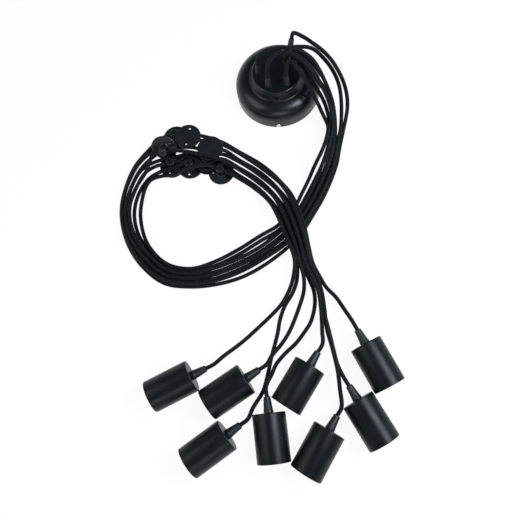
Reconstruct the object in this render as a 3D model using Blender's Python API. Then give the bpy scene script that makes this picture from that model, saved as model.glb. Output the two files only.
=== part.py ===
# Spider pendant light lying on a table: one canopy, eight textile cords, eight cord hooks, eight lampholders.
# Metres, Z up. The ceiling face of the canopy is the plane Z = 0, with the canopy's axis on the Z axis.
import math

import bpy
import bmesh
import numpy as np
from mathutils import Matrix, Vector

# Clearances
GAP = 0.0003
THROUGH = 0.002

# Canopy cover
CANOPY_RADIUS = 0.066
CANOPY_WALL_HEIGHT = 0.015
SHOULDER_INNER_RADIUS = 0.044
SHOULDER_HEIGHT = 0.0215
TIER_FOOT_RADIUS = 0.0425
TIER_FOOT_Z = 0.0376
TIER_TOP_RADIUS = 0.0385
TIER_WALL_TOP_Z = 0.0462
TIER_EDGE_RADIUS = 0.0377
TIER_EDGE_Z = 0.0489
CANOPY_FLAT_RADIUS = 0.0355
CANOPY_TOP_Z = 0.0505
CANOPY_SHEET = 0.0012
CANOPY_SEGMENTS = 32
SHOULDER_ANGLE_SHARE = (0.0, 0.22, 0.44, 0.64, 0.83, 1.0)

# Side screws, which hold the canopy to the bracket's ears
SIDE_SCREW_Z = 0.0065
SIDE_SCREW_RADIUS = 0.002
SIDE_SCREW_SHANK_LENGTH = 0.0093
SIDE_SCREW_HEAD_RADIUS = 0.0035
SIDE_SCREW_HEAD_RIM = 0.0010
SIDE_SCREW_HEAD_HEIGHT = 0.0024
SIDE_SCREW_CROWN_RADIUS = 0.0022
SIDE_SCREW_HOLE_RADIUS = 0.0024

# Ceiling bracket
BRACKET_WIDTH = 0.025
BRACKET_SHEET = 0.0016
BRACKET_COVER_GAP = 0.0018
BRACKET_EAR_Y = CANOPY_RADIUS - CANOPY_SHEET - BRACKET_COVER_GAP
BRACKET_EAR_HEIGHT = 0.012
BRACKET_SLOT_WIDTH = 0.005
BRACKET_SLOT_LENGTH = 0.014
BRACKET_SLOT_FROM_EAR = 0.017
BRACKET_SLOT_Y = BRACKET_EAR_Y - BRACKET_SLOT_FROM_EAR
BRACKET_SIDE_HOLE_RADIUS = 0.0025
BRACKET_SIDE_HOLE_X = 0.008

# Terminal block and earth terminal
BLOCK_SIZE = (0.030, 0.016, 0.009)
BLOCK_TOWER_SIZE = (0.006, 0.008, 0.006)
BLOCK_PITCH = 0.010
BLOCK_WIRE_RADIUS = 0.0018
BLOCK_WIRE_Z = 0.0055
EARTH_FROM_SLOT = 0.013
EARTH_Y = BRACKET_SLOT_Y - BRACKET_SLOT_LENGTH / 2 - EARTH_FROM_SLOT
EARTH_WASHER_RADIUS = 0.0045
EARTH_WASHER_HEIGHT = 0.0010
EARTH_HEAD_RADIUS = 0.0034
EARTH_HEAD_HEIGHT = 0.0026
EARTH_SHANK_RADIUS = 0.0018
EARTH_HOLE_RADIUS = 0.0022

# Inner leads, gathered into a live and a neutral bundle
LEAD_RADIUS = 0.0016
LEAD_ROUTES = {
    "inner_leads_live": (
        (0.0180, 0.0070, 0.0425), (0.0185, 0.0085, 0.0370), (0.0180, 0.0120, 0.0290),
        (0.0155, 0.0160, 0.0200), (0.0125, 0.0175, 0.0120), (0.0105, 0.0150, 0.0080),
        (0.0100, 0.0115, 0.0072), (0.0100, 0.0084, 0.0072),
    ),
    "inner_leads_neutral": (
        (0.0080, 0.0070, 0.0425), (0.0070, 0.0085, 0.0370), (0.0020, 0.0120, 0.0290),
        (-0.0050, 0.0160, 0.0200), (-0.0090, 0.0175, 0.0120), (-0.0100, 0.0150, 0.0080),
        (-0.0100, 0.0115, 0.0072), (-0.0100, 0.0084, 0.0072),
    ),
}

# Canopy grips: their places on the canopy's flat top, and the one that leans
CANOPY_GRIP_PLACES = {
    1: (0.0144, -0.0226), 2: (-0.0123, -0.0238), 3: (0.0260, 0.0015), 4: (0.0148, 0.0016),
    5: (-0.0268, -0.0012), 6: (0.0148, 0.0130), 7: (0.0260, 0.0130), 8: (0.0185, 0.0254),
}
LEANING_GRIP = 8
LEAN_DEG = 42.0
LEAN_TOWARDS_DEG = 72.0
LEAN_LIFT = 0.0039
CANOPY_GRIP_STEM_RADIUS = 0.0038
CANOPY_GRIP_STEM_LENGTH = 0.0066
CANOPY_GRIP_HOLE_RADIUS = 0.0043
CANOPY_GRIP_BASE_RADIUS = 0.0054
CANOPY_GRIP_BASE_HEIGHT = 0.0030
CANOPY_GRIP_TIP_RADIUS = 0.0038
CANOPY_GRIP_HEIGHT = 0.0210
GRIP_SEGMENTS = 10

# Lampholder covers: mouth centre on the table, and heading from the mouth to the closed end
CUP_RADIUS = 0.0225
CUP_LENGTH = 0.0634
CUP_WALL = 0.0012
CUP_CAP = 0.0015
CUP_EDGE = 0.0010
CUP_HOLE_RADIUS = 0.0050
CUP_SEGMENTS = 20
CUP_PLACES = {
    1: (-0.1779, -0.4757, 26.6), 2: (-0.0993, -0.4864, 33.5), 3: (-0.1231, -0.5611, 35.4),
    4: (-0.0090, -0.5595, 96.4), 5: (0.0066, -0.4879, 57.9), 6: (0.0315, -0.5724, 59.4),
    7: (0.1342, -0.5341, 120.5), 8: (0.1451, -0.4620, 117.7),
}

# Lampholders
HOLDER_FRONT = 0.0040
HOLDER_BODY_RADIUS = 0.0200
HOLDER_BODY_END = 0.0450
HOLDER_NECK_RADIUS = 0.0140
HOLDER_NECK_START = 0.0490
HOLDER_BORE_RADIUS = 0.0135
HOLDER_BORE_END = 0.0320
HOLDER_CONTACT_RADIUS = 0.0045
HOLDER_CONTACT_FRONT = 0.0290
HOLDER_NECK_BORE_RADIUS = 0.0050
HOLDER_NECK_BORE_DEPTH = 0.0060
HOLDER_SEGMENTS = 14

# Lampholder grips
SOCKET_GRIP_STEM_RADIUS = 0.0046
SOCKET_GRIP_BASE_RADIUS = 0.0067
SOCKET_GRIP_BASE_HEIGHT = 0.0035
SOCKET_GRIP_TIP_RADIUS = 0.0046
SOCKET_GRIP_LENGTH = 0.0210

# Cord hooks
HOOK_BASE_RADIUS = 0.020
HOOK_BASE_SHEET = 0.0015
HOOK_EDGE = 0.0006
HOOK_STEM_RADIUS = 0.0065
HOOK_STEM_LENGTH = 0.0160
HOOK_STEM_EDGE = 0.0006
HOOK_BORE_RADIUS = 0.0036
HOOK_BORE_HEIGHT = 0.0100
HOOK_SCREW_HOLE_RADIUS = 0.0018
HOOK_SCREW_HOLE_PLACE = 0.0130
HOOK_SEGMENTS = 14
# cord: (plan X of the cross hole, its height, tilt from upright in degrees, turn of the base in degrees)
HOOK_PLACES = {
    1: (-0.0900, 0.0138, 0.0, 20.0), 2: (-0.1755, 0.0245, 54.0, 40.0), 3: (-0.1385, 0.0136, 0.0, 90.0),
    4: (-0.1660, 0.0116, 0.0, 65.0), 5: (-0.1120, 0.0116, 0.0, 10.0), 6: (-0.1380, 0.0120, 180.0, 99.0),
    7: (-0.1035, 0.0125, 180.0, 83.0), 8: (-0.1640, 0.0116, 0.0, 50.0),
}
# The hooks lie behind this Y
HOOK_FIELD_Y = -0.16

# Cords
CORD_RADIUS = 0.0029
CORD_LAY = 0.0070
CORD_STEP = 0.0030
CORD_SEGMENT_LONG = 0.0180
CORD_SEGMENT_SHORT = 0.0105
CORD_TIGHT_RADIUS = 0.022
CORD_EASY_RADIUS = 0.055
CORD_HOOK_STRAIGHT = 0.0085
CORD_END_STRAIGHT = 0.0060
CORD_END_DROP = 0.058
HANG_BLEND = 0.060
CORD_BEVEL_RESOLUTION = 2
CURVE_STEPS = 24
SETTLE_SWEEPS = 5
SETTLE_WINDOW_STEPS = 7
# How many of the last points of a cord's way down are laid on the cords below them
SETTLED_DOWN_COUNT = 2
# From each canopy grip over the canopy's edge
ROUTE_RISE = {
    1: ((0.0144, -0.0226, 0.0795), (0.0163, -0.0213, 0.089), (0.0186, -0.0153, 0.0955),
        (0.025, -0.0159, 0.097), (0.0318, -0.024, 0.093), (0.0383, -0.0306, 0.084)),
    2: ((-0.0123, -0.0238, 0.08), (-0.0115, -0.0205, 0.089), (-0.0083, -0.0135, 0.0965),
        (-0.0016, -0.0086, 0.101), (0.0077, -0.0058, 0.103), (0.0183, -0.0058, 0.103),
        (0.0294, -0.0094, 0.1005), (0.0397, -0.0164, 0.0965), (0.0491, -0.025, 0.0905)),
    3: ((0.026, 0.0015, 0.077), (0.0288, 0, 0.0815), (0.0351, -0.0083, 0.083), (0.0437, -0.0221, 0.078)),
    4: ((0.0148, 0.0016, 0.0785), (0.0181, 0.0028, 0.086), (0.0264, -0.0012, 0.0905),
        (0.037, -0.0091, 0.0895), (0.0474, -0.0173, 0.084)),
    5: ((-0.0268, -0.0012, 0.079), (-0.0235, 0.0011, 0.0895), (-0.0147, 0.0027, 0.097),
        (-0.0035, 0.002, 0.103), (0.008, -0.0003, 0.1075), (0.0193, -0.0021, 0.1095),
        (0.0311, -0.0045, 0.1085), (0.0421, -0.0092, 0.105), (0.0531, -0.0162, 0.099)),
    6: ((0.0148, 0.013, 0.0785), (0.0181, 0.013, 0.0855), (0.0259, 0.012, 0.0905),
        (0.0374, 0.0103, 0.0925), (0.0473, 0.01, 0.091), (0.0573, 0.0073, 0.0865), (0.0679, 0, 0.0795)),
    7: ((0.026, 0.013, 0.077), (0.0291, 0.0123, 0.0815), (0.0364, 0.0073, 0.084), (0.0474, -0.0025, 0.0825)),
    8: ((0.025, 0.0454, 0.0738), (0.0284, 0.0418, 0.082), (0.0355, 0.0345, 0.086),
        (0.0455, 0.0254, 0.0885), (0.0553, 0.0158, 0.0895), (0.0657, 0.0063, 0.0895)),
}
ROUTE_DOWN = {
    1: ((0.0468, -0.0385, 0.069), (0.0544, -0.0474, 0.056), (0.0631, -0.0588, 0.041),
        (0.0709, -0.0721, 0.024), (0.0747, -0.0876, 0.012), (0.0714, -0.1077, 0)),
    2: ((0.0584, -0.0354, 0.081), (0.0681, -0.0447, 0.068), (0.0752, -0.0549, 0.0545),
        (0.0795, -0.064, 0.0415), (0.0813, -0.0758, 0.03), (0.0804, -0.0904, 0.017), (0.0766, -0.1079, 0)),
    3: ((0.0528, -0.0332, 0.069), (0.061, -0.0415, 0.058), (0.0688, -0.0498, 0.045),
        (0.0744, -0.0597, 0.03), (0.0775, -0.072, 0.014), (0.0776, -0.0875, 0.005), (0.0744, -0.108, 0)),
    4: ((0.0594, -0.0281, 0.072), (0.0696, -0.0373, 0.057), (0.0768, -0.0471, 0.041),
        (0.0815, -0.0553, 0.026), (0.0837, -0.0676, 0.0145), (0.0829, -0.0849, 0.006), (0.0793, -0.108, 0)),
    5: ((0.0617, -0.0263, 0.0915), (0.0693, -0.0367, 0.0795), (0.0761, -0.0449, 0.0635),
        (0.081, -0.0527, 0.046), (0.0831, -0.0616, 0.031), (0.084, -0.074, 0.0202),
        (0.0832, -0.0893, 0.008), (0.0817, -0.108, 0)),
    6: ((0.0775, -0.0087, 0.072), (0.0858, -0.0199, 0.0645), (0.0916, -0.0321, 0.056),
        (0.0948, -0.0453, 0.042), (0.0957, -0.0605, 0.028), (0.0950, -0.0739, 0.0165),
        (0.0931, -0.0887, 0.006), (0.0881, -0.1081, 0)),
    7: ((0.0587, -0.0135, 0.076), (0.0691, -0.0258, 0.065), (0.0769, -0.0367, 0.05),
        (0.0825, -0.0452, 0.033), (0.0856, -0.0533, 0.016), (0.0869, -0.066, 0.005),
        (0.0866, -0.0869, 0.003), (0.0848, -0.1079, 0)),
    8: ((0.0782, -0.0067, 0.086), (0.0895, -0.0209, 0.077), (0.0976, -0.0328, 0.0645),
        (0.1031, -0.0451, 0.048), (0.1042, -0.0571, 0.033), (0.1017, -0.0708, 0.019),
        (0.0977, -0.0864, 0.006), (0.0924, -0.1081, 0)),
}
# Which of the eight lanes of the bundle each cord keeps, from the outer lane 1 to the inner lane 8
CORD_LANE = {1: 8, 3: 7, 2: 6, 4: 5, 5: 4, 7: 3, 6: 2, 8: 1}
EVEN_SHARE = tuple(i / 7 for i in range(8))
# The bundle's inner edge, its outer edge, and each lane's share of the way between them
BAND = (
    ((0.062, -0.132), (0.087, -0.134), EVEN_SHARE),
    ((0.046, -0.157), (0.075, -0.166), (0, 0.24, 0.36, 0.48, 0.61, 0.74, 0.87, 1)),
    ((0.035, -0.178), (0.063, -0.191), (0, 0.24, 0.36, 0.48, 0.61, 0.74, 0.87, 1)),
    ((0.025, -0.199), (0.050, -0.213), (0, 0.20, 0.33, 0.46, 0.60, 0.73, 0.87, 1)),
    ((0.011, -0.218), (0.034, -0.238), EVEN_SHARE),
    ((-0.005, -0.232), (0.012, -0.262), EVEN_SHARE),
    ((-0.030, -0.246), (-0.022, -0.288), (0, 0.14, 0.36, 0.48, 0.60, 0.71, 0.82, 1)),
    ((-0.060, -0.265), (-0.056, -0.306), (0, 0.14, 0.33, 0.45, 0.57, 0.69, 0.82, 1)),
    ((-0.095, -0.283), (-0.093, -0.316), EVEN_SHARE),
    ((-0.130, -0.293), (-0.132, -0.319), EVEN_SHARE),
    ((-0.165, -0.286), (-0.171, -0.313), EVEN_SHARE),
    ((-0.192, -0.262), (-0.208, -0.284), EVEN_SHARE),
    ((-0.207, -0.232), (-0.232, -0.246), (0, 0.30, 0.42, 0.54, 0.65, 0.77, 0.88, 1)),
    ((-0.213, -0.200), (-0.243, -0.202), (0, 0.32, 0.43, 0.54, 0.66, 0.77, 0.88, 1)),
    ((-0.207, -0.168), (-0.239, -0.162), (0, 0.26, 0.38, 0.50, 0.62, 0.74, 0.87, 1)),
    ((-0.198, -0.152), (-0.222, -0.119), EVEN_SHARE),
)
# Through the hooks, with the least height of the cord's middle
ROUTE_HOOKS = {
    1: ((-0.180, -0.1455, 0.006), (-0.164, -0.1445, 0.006), (-0.139, -0.1390, 0.0085),
        (-0.113, -0.1355, 0.0145), (-0.090, -0.1400, 0.0138), (-0.062, -0.154, 0.003)),
    2: ((-0.190, -0.114, 0.018), (-0.1755, -0.1115, 0.0245), (-0.142, -0.1150, 0.027),
        (-0.113, -0.1220, 0.0290), (-0.089, -0.1290, 0.022), (-0.062, -0.141, 0.002)),
    3: ((-0.180, -0.137, 0.006), (-0.164, -0.136, 0.007), (-0.1385, -0.1287, 0.0136),
        (-0.113, -0.1390, 0.0050), (-0.089, -0.1297, 0.0070), (-0.062, -0.1475, 0.005)),
    4: ((-0.180, -0.127, 0.008), (-0.166, -0.1255, 0.0116), (-0.137, -0.1180, 0.0055),
        (-0.113, -0.1328, 0.0066), (-0.089, -0.1227, 0.0066), (-0.062, -0.1345, 0.0)),
    5: ((-0.180, -0.118, 0.006), (-0.164, -0.1156, 0.009), (-0.136, -0.1105, 0.0045),
        (-0.112, -0.1222, 0.0116), (-0.089, -0.1153, 0.006), (-0.062, -0.128, 0.0)),
    6: ((-0.186, -0.094, 0.0), (-0.164, -0.089, 0.005), (-0.1380, -0.088, 0.0120),
        (-0.113, -0.0910, 0.007), (-0.089, -0.0985, 0.002), (-0.062, -0.114, 0.0)),
    7: ((-0.184, -0.101, 0.0), (-0.164, -0.0965, 0.005), (-0.139, -0.0990, 0.003),
        (-0.1035, -0.1090, 0.0125), (-0.086, -0.1070, 0.005), (-0.062, -0.121, 0.0)),
    8: ((-0.188, -0.086, 0.004), (-0.164, -0.078, 0.0116), (-0.139, -0.0775, 0.005),
        (-0.113, -0.0805, 0.002), (-0.089, -0.0895, 0.0), (-0.062, -0.107, 0.0)),
}
CROSSING = (
    ((-0.034, -0.174), (-0.026, -0.131), EVEN_SHARE),
    ((-0.013, -0.198), (0.002, -0.159), EVEN_SHARE),
    ((-0.001, -0.222), (0.020, -0.188), EVEN_SHARE),
    ((0.007, -0.244), (0.036, -0.233), EVEN_SHARE),
    ((0.016, -0.266), (0.042, -0.262), EVEN_SHARE),
)
ROUTE_OUT = {
    1: ((0.022, -0.290), (0.019, -0.312), (0.011, -0.332), (0.000, -0.350), (-0.035, -0.383),
        (-0.058, -0.404), (-0.076, -0.419)),
    2: ((0.029, -0.290), (0.034, -0.310), (0.034, -0.328), (0.028, -0.348), (0.013, -0.385),
        (0.001, -0.405), (-0.011, -0.420)),
    3: ((0.025, -0.290), (0.024, -0.312), (0.017, -0.332), (0.006, -0.350), (-0.001, -0.370),
        (-0.004, -0.387), (-0.014, -0.425), (-0.019, -0.448), (-0.025, -0.469), (-0.0368, -0.489)),
    4: ((0.033, -0.290), (0.041, -0.310), (0.048, -0.328), (0.049, -0.348), (0.043, -0.372),
        (0.035, -0.385), (0.021, -0.403), (0.007, -0.416), (-0.006, -0.432), (-0.012, -0.446)),
    5: ((0.036, -0.290), (0.046, -0.310), (0.054, -0.330), (0.057, -0.352), (0.058, -0.374),
        (0.058, -0.388)),
    6: ((0.044, -0.290), (0.053, -0.310), (0.059, -0.330), (0.062, -0.352), (0.065, -0.386),
        (0.069, -0.403), (0.074, -0.426), (0.077, -0.442), (0.079, -0.464)),
    7: ((0.040, -0.290), (0.049, -0.310), (0.056, -0.330), (0.060, -0.352), (0.068, -0.386),
        (0.073, -0.412), (0.077, -0.432)),
    8: ((0.048, -0.288), (0.056, -0.305), (0.065, -0.322), (0.079, -0.339), (0.090, -0.359)),
}
TAIL_REACH = (0.011, 0.0)
# Cords laid first lie lowest
LAYING_ORDER = (8, 7, 3, 4, 6, 5, 2, 1)
STAGE_RISE, STAGE_BAND, STAGE_HOOKS, STAGE_CROSSING = range(4)


# Materials
FINISHES = {
    "canopy_paint": ((0.006, 0.008, 0.010), 0.22, 0.0),
    "cup_paint": ((0.008, 0.010, 0.012), 0.32, 0.0),
    "hook_paint": ((0.008, 0.010, 0.012), 0.30, 0.0),
    "nylon": ((0.012, 0.014, 0.016), 0.45, 0.0),
    "textile": ((0.005, 0.005, 0.006), 0.85, 0.0),
    "phenolic": ((0.010, 0.010, 0.011), 0.40, 0.0),
    "nickel": ((0.60, 0.60, 0.60), 0.25, 1.0),
    "zinc": ((0.45, 0.46, 0.48), 0.40, 1.0),
    "polyamide": ((0.80, 0.80, 0.76), 0.45, 0.0),
    "brass": ((0.60, 0.45, 0.15), 0.30, 1.0),
    "lead_brown": ((0.10, 0.04, 0.02), 0.50, 0.0),
    "lead_blue": ((0.02, 0.06, 0.25), 0.50, 0.0),
}


def clear_scene():
    """Removes every object of the startup scene."""
    for old in list(bpy.data.objects):
        bpy.data.objects.remove(old, do_unlink=True)


def finish(obj, kind):
    """Gives the object its own material of this kind."""
    colour, rough, metal = FINISHES[kind]
    made = bpy.data.materials.new(kind + "_" + obj.name)
    made.use_nodes = True
    shader = made.node_tree.nodes["Principled BSDF"]
    shader.inputs["Base Color"].default_value = (*colour, 1.0)
    shader.inputs["Roughness"].default_value = rough
    shader.inputs["Metallic"].default_value = metal
    obj.data.materials.append(made)


def link(name, bm, kind=None):
    """Turns a bmesh into an object with its faces out."""
    bmesh.ops.recalc_face_normals(bm, faces=bm.faces)
    mesh = bpy.data.meshes.new(name)
    bm.to_mesh(mesh)
    bm.free()
    obj = bpy.data.objects.new(name, mesh)
    bpy.context.scene.collection.objects.link(obj)
    if kind:
        finish(obj, kind)
    return obj


def add_turned(bm, profile, segments, place, closed=False):
    """Adds the surface that a profile of (radius, height) makes about the place's Z axis."""
    rings = []
    for radius, height in profile:
        if radius == 0:
            rings.append([bm.verts.new(place @ Vector((0, 0, height)))])
            continue
        ring = []
        for i in range(segments):
            angle = 2 * math.pi * i / segments
            point = Vector((radius * math.cos(angle), radius * math.sin(angle), height))
            ring.append(bm.verts.new(place @ point))
        rings.append(ring)
    pairs = list(zip(rings, rings[1:]))
    if closed:
        pairs.append((rings[-1], rings[0]))
    for low, high in pairs:
        for i in range(segments):
            j = (i + 1) % segments
            if len(low) == 1 and len(high) == 1:
                break
            if len(low) == 1:
                bm.faces.new((low[0], high[j], high[i]))
            elif len(high) == 1:
                bm.faces.new((low[i], low[j], high[0]))
            else:
                bm.faces.new((low[i], low[j], high[j], high[i]))


def turned(name, profile, segments, place, kind, closed=False):
    """Makes one turned solid."""
    bm = bmesh.new()
    add_turned(bm, profile, segments, place, closed)
    return link(name, bm, kind)


def add_box(bm, low, high):
    """Adds a box between two corners."""
    size = Vector(high) - Vector(low)
    middle = (Vector(high) + Vector(low)) / 2
    bmesh.ops.create_cube(bm, size=1.0, matrix=Matrix.Translation(middle) @ Matrix.Diagonal((*size, 1.0)))


def add_rod(bm, start, end, radius, segments):
    """Adds a closed cylinder from start to end."""
    start, end = Vector(start), Vector(end)
    way = end - start
    place = Matrix.Translation(start) @ way.to_track_quat("Z", "Y").to_matrix().to_4x4()
    add_turned(bm, ((0, 0), (radius, 0), (radius, way.length), (0, way.length)), segments, place)


def boolean(obj, bm, operation, label):
    """Cuts the cutter's solid from the object, or joins it."""
    cutter = link(obj.name + label, bm)
    cutter.hide_render = True
    cutter.display_type = "WIRE"
    modifier = obj.modifiers.new(label.strip("_"), "BOOLEAN")
    modifier.operation = operation
    modifier.solver = "EXACT"
    modifier.object = cutter


def grip_place(number):
    """The frame of a canopy grip: its origin on the canopy's top, its Z axis along the grip."""
    x, y = CANOPY_GRIP_PLACES[number]
    place = Matrix.Translation((x, y, CANOPY_TOP_Z))
    if number == LEANING_GRIP:
        towards = math.radians(LEAN_TOWARDS_DEG)
        lean = Matrix.Rotation(math.radians(LEAN_DEG), 4, Vector((-math.sin(towards), math.cos(towards), 0)))
        place = place @ lean @ Matrix.Translation((0, 0, LEAN_LIFT))
    return place


def shoulder_profile(inset):
    """The canopy's profile from the rim to the middle of its top, drawn in by the inset."""
    points = [(CANOPY_RADIUS - inset, 0)]
    shoulder_width = CANOPY_RADIUS - SHOULDER_INNER_RADIUS
    for share in SHOULDER_ANGLE_SHARE:
        angle = share * math.pi / 2
        across = shoulder_width * math.cos(angle)
        up = SHOULDER_HEIGHT * math.sin(angle)
        normal = Vector((math.cos(angle) * SHOULDER_HEIGHT, math.sin(angle) * shoulder_width))
        normal.normalize()
        points.append((
            SHOULDER_INNER_RADIUS + across - inset * normal.x,
            CANOPY_WALL_HEIGHT + up - inset * normal.y,
        ))
    points.append((TIER_FOOT_RADIUS - inset, TIER_FOOT_Z - inset / 2))
    points.append((TIER_TOP_RADIUS - inset, TIER_WALL_TOP_Z - inset / 2))
    points.append((TIER_EDGE_RADIUS - inset, TIER_EDGE_Z - inset))
    points.append((CANOPY_FLAT_RADIUS - inset / 2, CANOPY_TOP_Z - inset))
    points.append((0, CANOPY_TOP_Z - inset))
    return points


def make_canopy():
    """The canopy's cover, with its grip holes and side screw holes."""
    profile = shoulder_profile(0) + shoulder_profile(CANOPY_SHEET)[::-1]
    cover = turned("canopy_cover", profile, CANOPY_SEGMENTS, Matrix.Identity(4), "canopy_paint", closed=True)
    holes = bmesh.new()
    for number in CANOPY_GRIP_PLACES:
        place = grip_place(number)
        low = place @ Vector((0, 0, -CANOPY_GRIP_STEM_LENGTH))
        high = place @ Vector((0, 0, THROUGH))
        add_rod(holes, low, high, CANOPY_GRIP_HOLE_RADIUS, GRIP_SEGMENTS)
    for side in (-1, 1):
        add_rod(
            holes,
            (0, side * (CANOPY_RADIUS - THROUGH - CANOPY_SHEET), SIDE_SCREW_Z),
            (0, side * (CANOPY_RADIUS + THROUGH), SIDE_SCREW_Z),
            SIDE_SCREW_HOLE_RADIUS,
            GRIP_SEGMENTS,
        )
    boolean(cover, holes, "DIFFERENCE", "_holes")


def make_canopy_grips():
    """The tapered grips on the canopy's top."""
    profile = (
        (0, -CANOPY_GRIP_STEM_LENGTH),
        (CANOPY_GRIP_STEM_RADIUS, -CANOPY_GRIP_STEM_LENGTH),
        (CANOPY_GRIP_STEM_RADIUS, GAP),
        (CANOPY_GRIP_BASE_RADIUS, GAP),
        (CANOPY_GRIP_BASE_RADIUS, CANOPY_GRIP_BASE_HEIGHT),
        (CANOPY_GRIP_TIP_RADIUS, CANOPY_GRIP_HEIGHT),
        (0, CANOPY_GRIP_HEIGHT),
    )
    for number in CANOPY_GRIP_PLACES:
        turned(f"canopy_grip_{number}", profile, GRIP_SEGMENTS, grip_place(number), "nylon")


def make_side_screws():
    """The two screws that hold the canopy to the bracket."""
    start = CANOPY_RADIUS + GAP
    tip = start - SIDE_SCREW_SHANK_LENGTH
    profile = (
        (0, tip),
        (SIDE_SCREW_RADIUS, tip),
        (SIDE_SCREW_RADIUS, start),
        (SIDE_SCREW_HEAD_RADIUS, start),
        (SIDE_SCREW_HEAD_RADIUS, start + SIDE_SCREW_HEAD_RIM),
        (SIDE_SCREW_CROWN_RADIUS, start + SIDE_SCREW_HEAD_HEIGHT),
        (0, start + SIDE_SCREW_HEAD_HEIGHT),
    )
    for name, turn in (("side_screw_front", math.pi / 2), ("side_screw_back", -math.pi / 2)):
        place = Matrix.Translation((0, 0, SIDE_SCREW_Z)) @ Matrix.Rotation(turn, 4, "X")
        turned(name, profile, GRIP_SEGMENTS, place, "nickel")


def make_bracket():
    """The strap that is screwed to the ceiling, with a bent ear at each end."""
    outline = (
        (-BRACKET_EAR_Y, 0), (BRACKET_EAR_Y, 0),
        (BRACKET_EAR_Y, BRACKET_EAR_HEIGHT), (BRACKET_EAR_Y - BRACKET_SHEET, BRACKET_EAR_HEIGHT),
        (BRACKET_EAR_Y - BRACKET_SHEET, BRACKET_SHEET), (BRACKET_SHEET - BRACKET_EAR_Y, BRACKET_SHEET),
        (BRACKET_SHEET - BRACKET_EAR_Y, BRACKET_EAR_HEIGHT), (-BRACKET_EAR_Y, BRACKET_EAR_HEIGHT),
    )
    bm = bmesh.new()
    face = bm.faces.new([bm.verts.new((-BRACKET_WIDTH / 2, y, z)) for y, z in outline])
    pushed = bmesh.ops.extrude_face_region(bm, geom=[face])
    moved = [v for v in pushed["geom"] if isinstance(v, bmesh.types.BMVert)]
    bmesh.ops.translate(bm, verts=moved, vec=(BRACKET_WIDTH, 0, 0))
    strap = link("ceiling_bracket", bm, "zinc")
    holes = bmesh.new()
    for side in (-1, 1):
        y = side * BRACKET_SLOT_Y
        add_box(
            holes,
            (-BRACKET_SLOT_WIDTH / 2, y - BRACKET_SLOT_LENGTH / 2, -THROUGH),
            (BRACKET_SLOT_WIDTH / 2, y + BRACKET_SLOT_LENGTH / 2, BRACKET_SHEET + THROUGH),
        )
        y = side * BRACKET_EAR_Y
        add_rod(
            holes,
            (0, y - side * (BRACKET_SHEET + THROUGH), SIDE_SCREW_Z),
            (0, y + side * THROUGH, SIDE_SCREW_Z),
            SIDE_SCREW_HOLE_RADIUS,
            GRIP_SEGMENTS,
        )
    above = BRACKET_SHEET + THROUGH
    add_rod(holes, (0, EARTH_Y, -THROUGH), (0, EARTH_Y, above), EARTH_HOLE_RADIUS, GRIP_SEGMENTS)
    for x in (-BRACKET_SIDE_HOLE_X, BRACKET_SIDE_HOLE_X):
        low, high = (x, -EARTH_Y, -THROUGH), (x, -EARTH_Y, above)
        add_rod(holes, low, high, BRACKET_SIDE_HOLE_RADIUS, GRIP_SEGMENTS)
    boolean(strap, holes, "DIFFERENCE", "_holes")


def make_terminals():
    """The terminal block on the bracket and the earth terminal beside it."""
    floor = BRACKET_SHEET + GAP
    length, depth, height = BLOCK_SIZE
    bm = bmesh.new()
    add_box(bm, (-length / 2, -depth / 2, floor), (length / 2, depth / 2, floor + height))
    block = link("terminal_block", bm, "polyamide")
    towers = bmesh.new()
    tower_length, tower_depth, tower_height = BLOCK_TOWER_SIZE
    ways = bmesh.new()
    for x in (-BLOCK_PITCH, 0, BLOCK_PITCH):
        add_box(
            towers,
            (x - tower_length / 2, -tower_depth / 2, floor + height / 2),
            (x + tower_length / 2, tower_depth / 2, floor + height + tower_height),
        )
        low = (x, -depth / 2 - THROUGH, floor + BLOCK_WIRE_Z)
        high = (x, depth / 2 + THROUGH, floor + BLOCK_WIRE_Z)
        add_rod(ways, low, high, BLOCK_WIRE_RADIUS, GRIP_SEGMENTS)
    boolean(block, towers, "UNION", "_towers")
    boolean(block, ways, "DIFFERENCE", "_ways")
    washer_top = floor + EARTH_WASHER_HEIGHT
    profile = (
        (0, GAP),
        (EARTH_SHANK_RADIUS, GAP),
        (EARTH_SHANK_RADIUS, floor),
        (EARTH_WASHER_RADIUS, floor),
        (EARTH_WASHER_RADIUS, washer_top),
        (EARTH_HEAD_RADIUS, washer_top),
        (EARTH_HEAD_RADIUS, washer_top + EARTH_HEAD_HEIGHT),
        (0, washer_top + EARTH_HEAD_HEIGHT),
    )
    turned("earth_terminal", profile, GRIP_SEGMENTS, Matrix.Translation((0, EARTH_Y, 0)), "brass")


def socket_place(number):
    """The frame of a lampholder: its origin in the cover's mouth, its Z axis to the closed end."""
    x, y, heading = CUP_PLACES[number]
    turn = Matrix.Rotation(math.radians(heading), 4, "Z") @ Matrix.Rotation(math.pi / 2, 4, "Y")
    return Matrix.Translation((x, y, CUP_RADIUS)) @ turn


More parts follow.
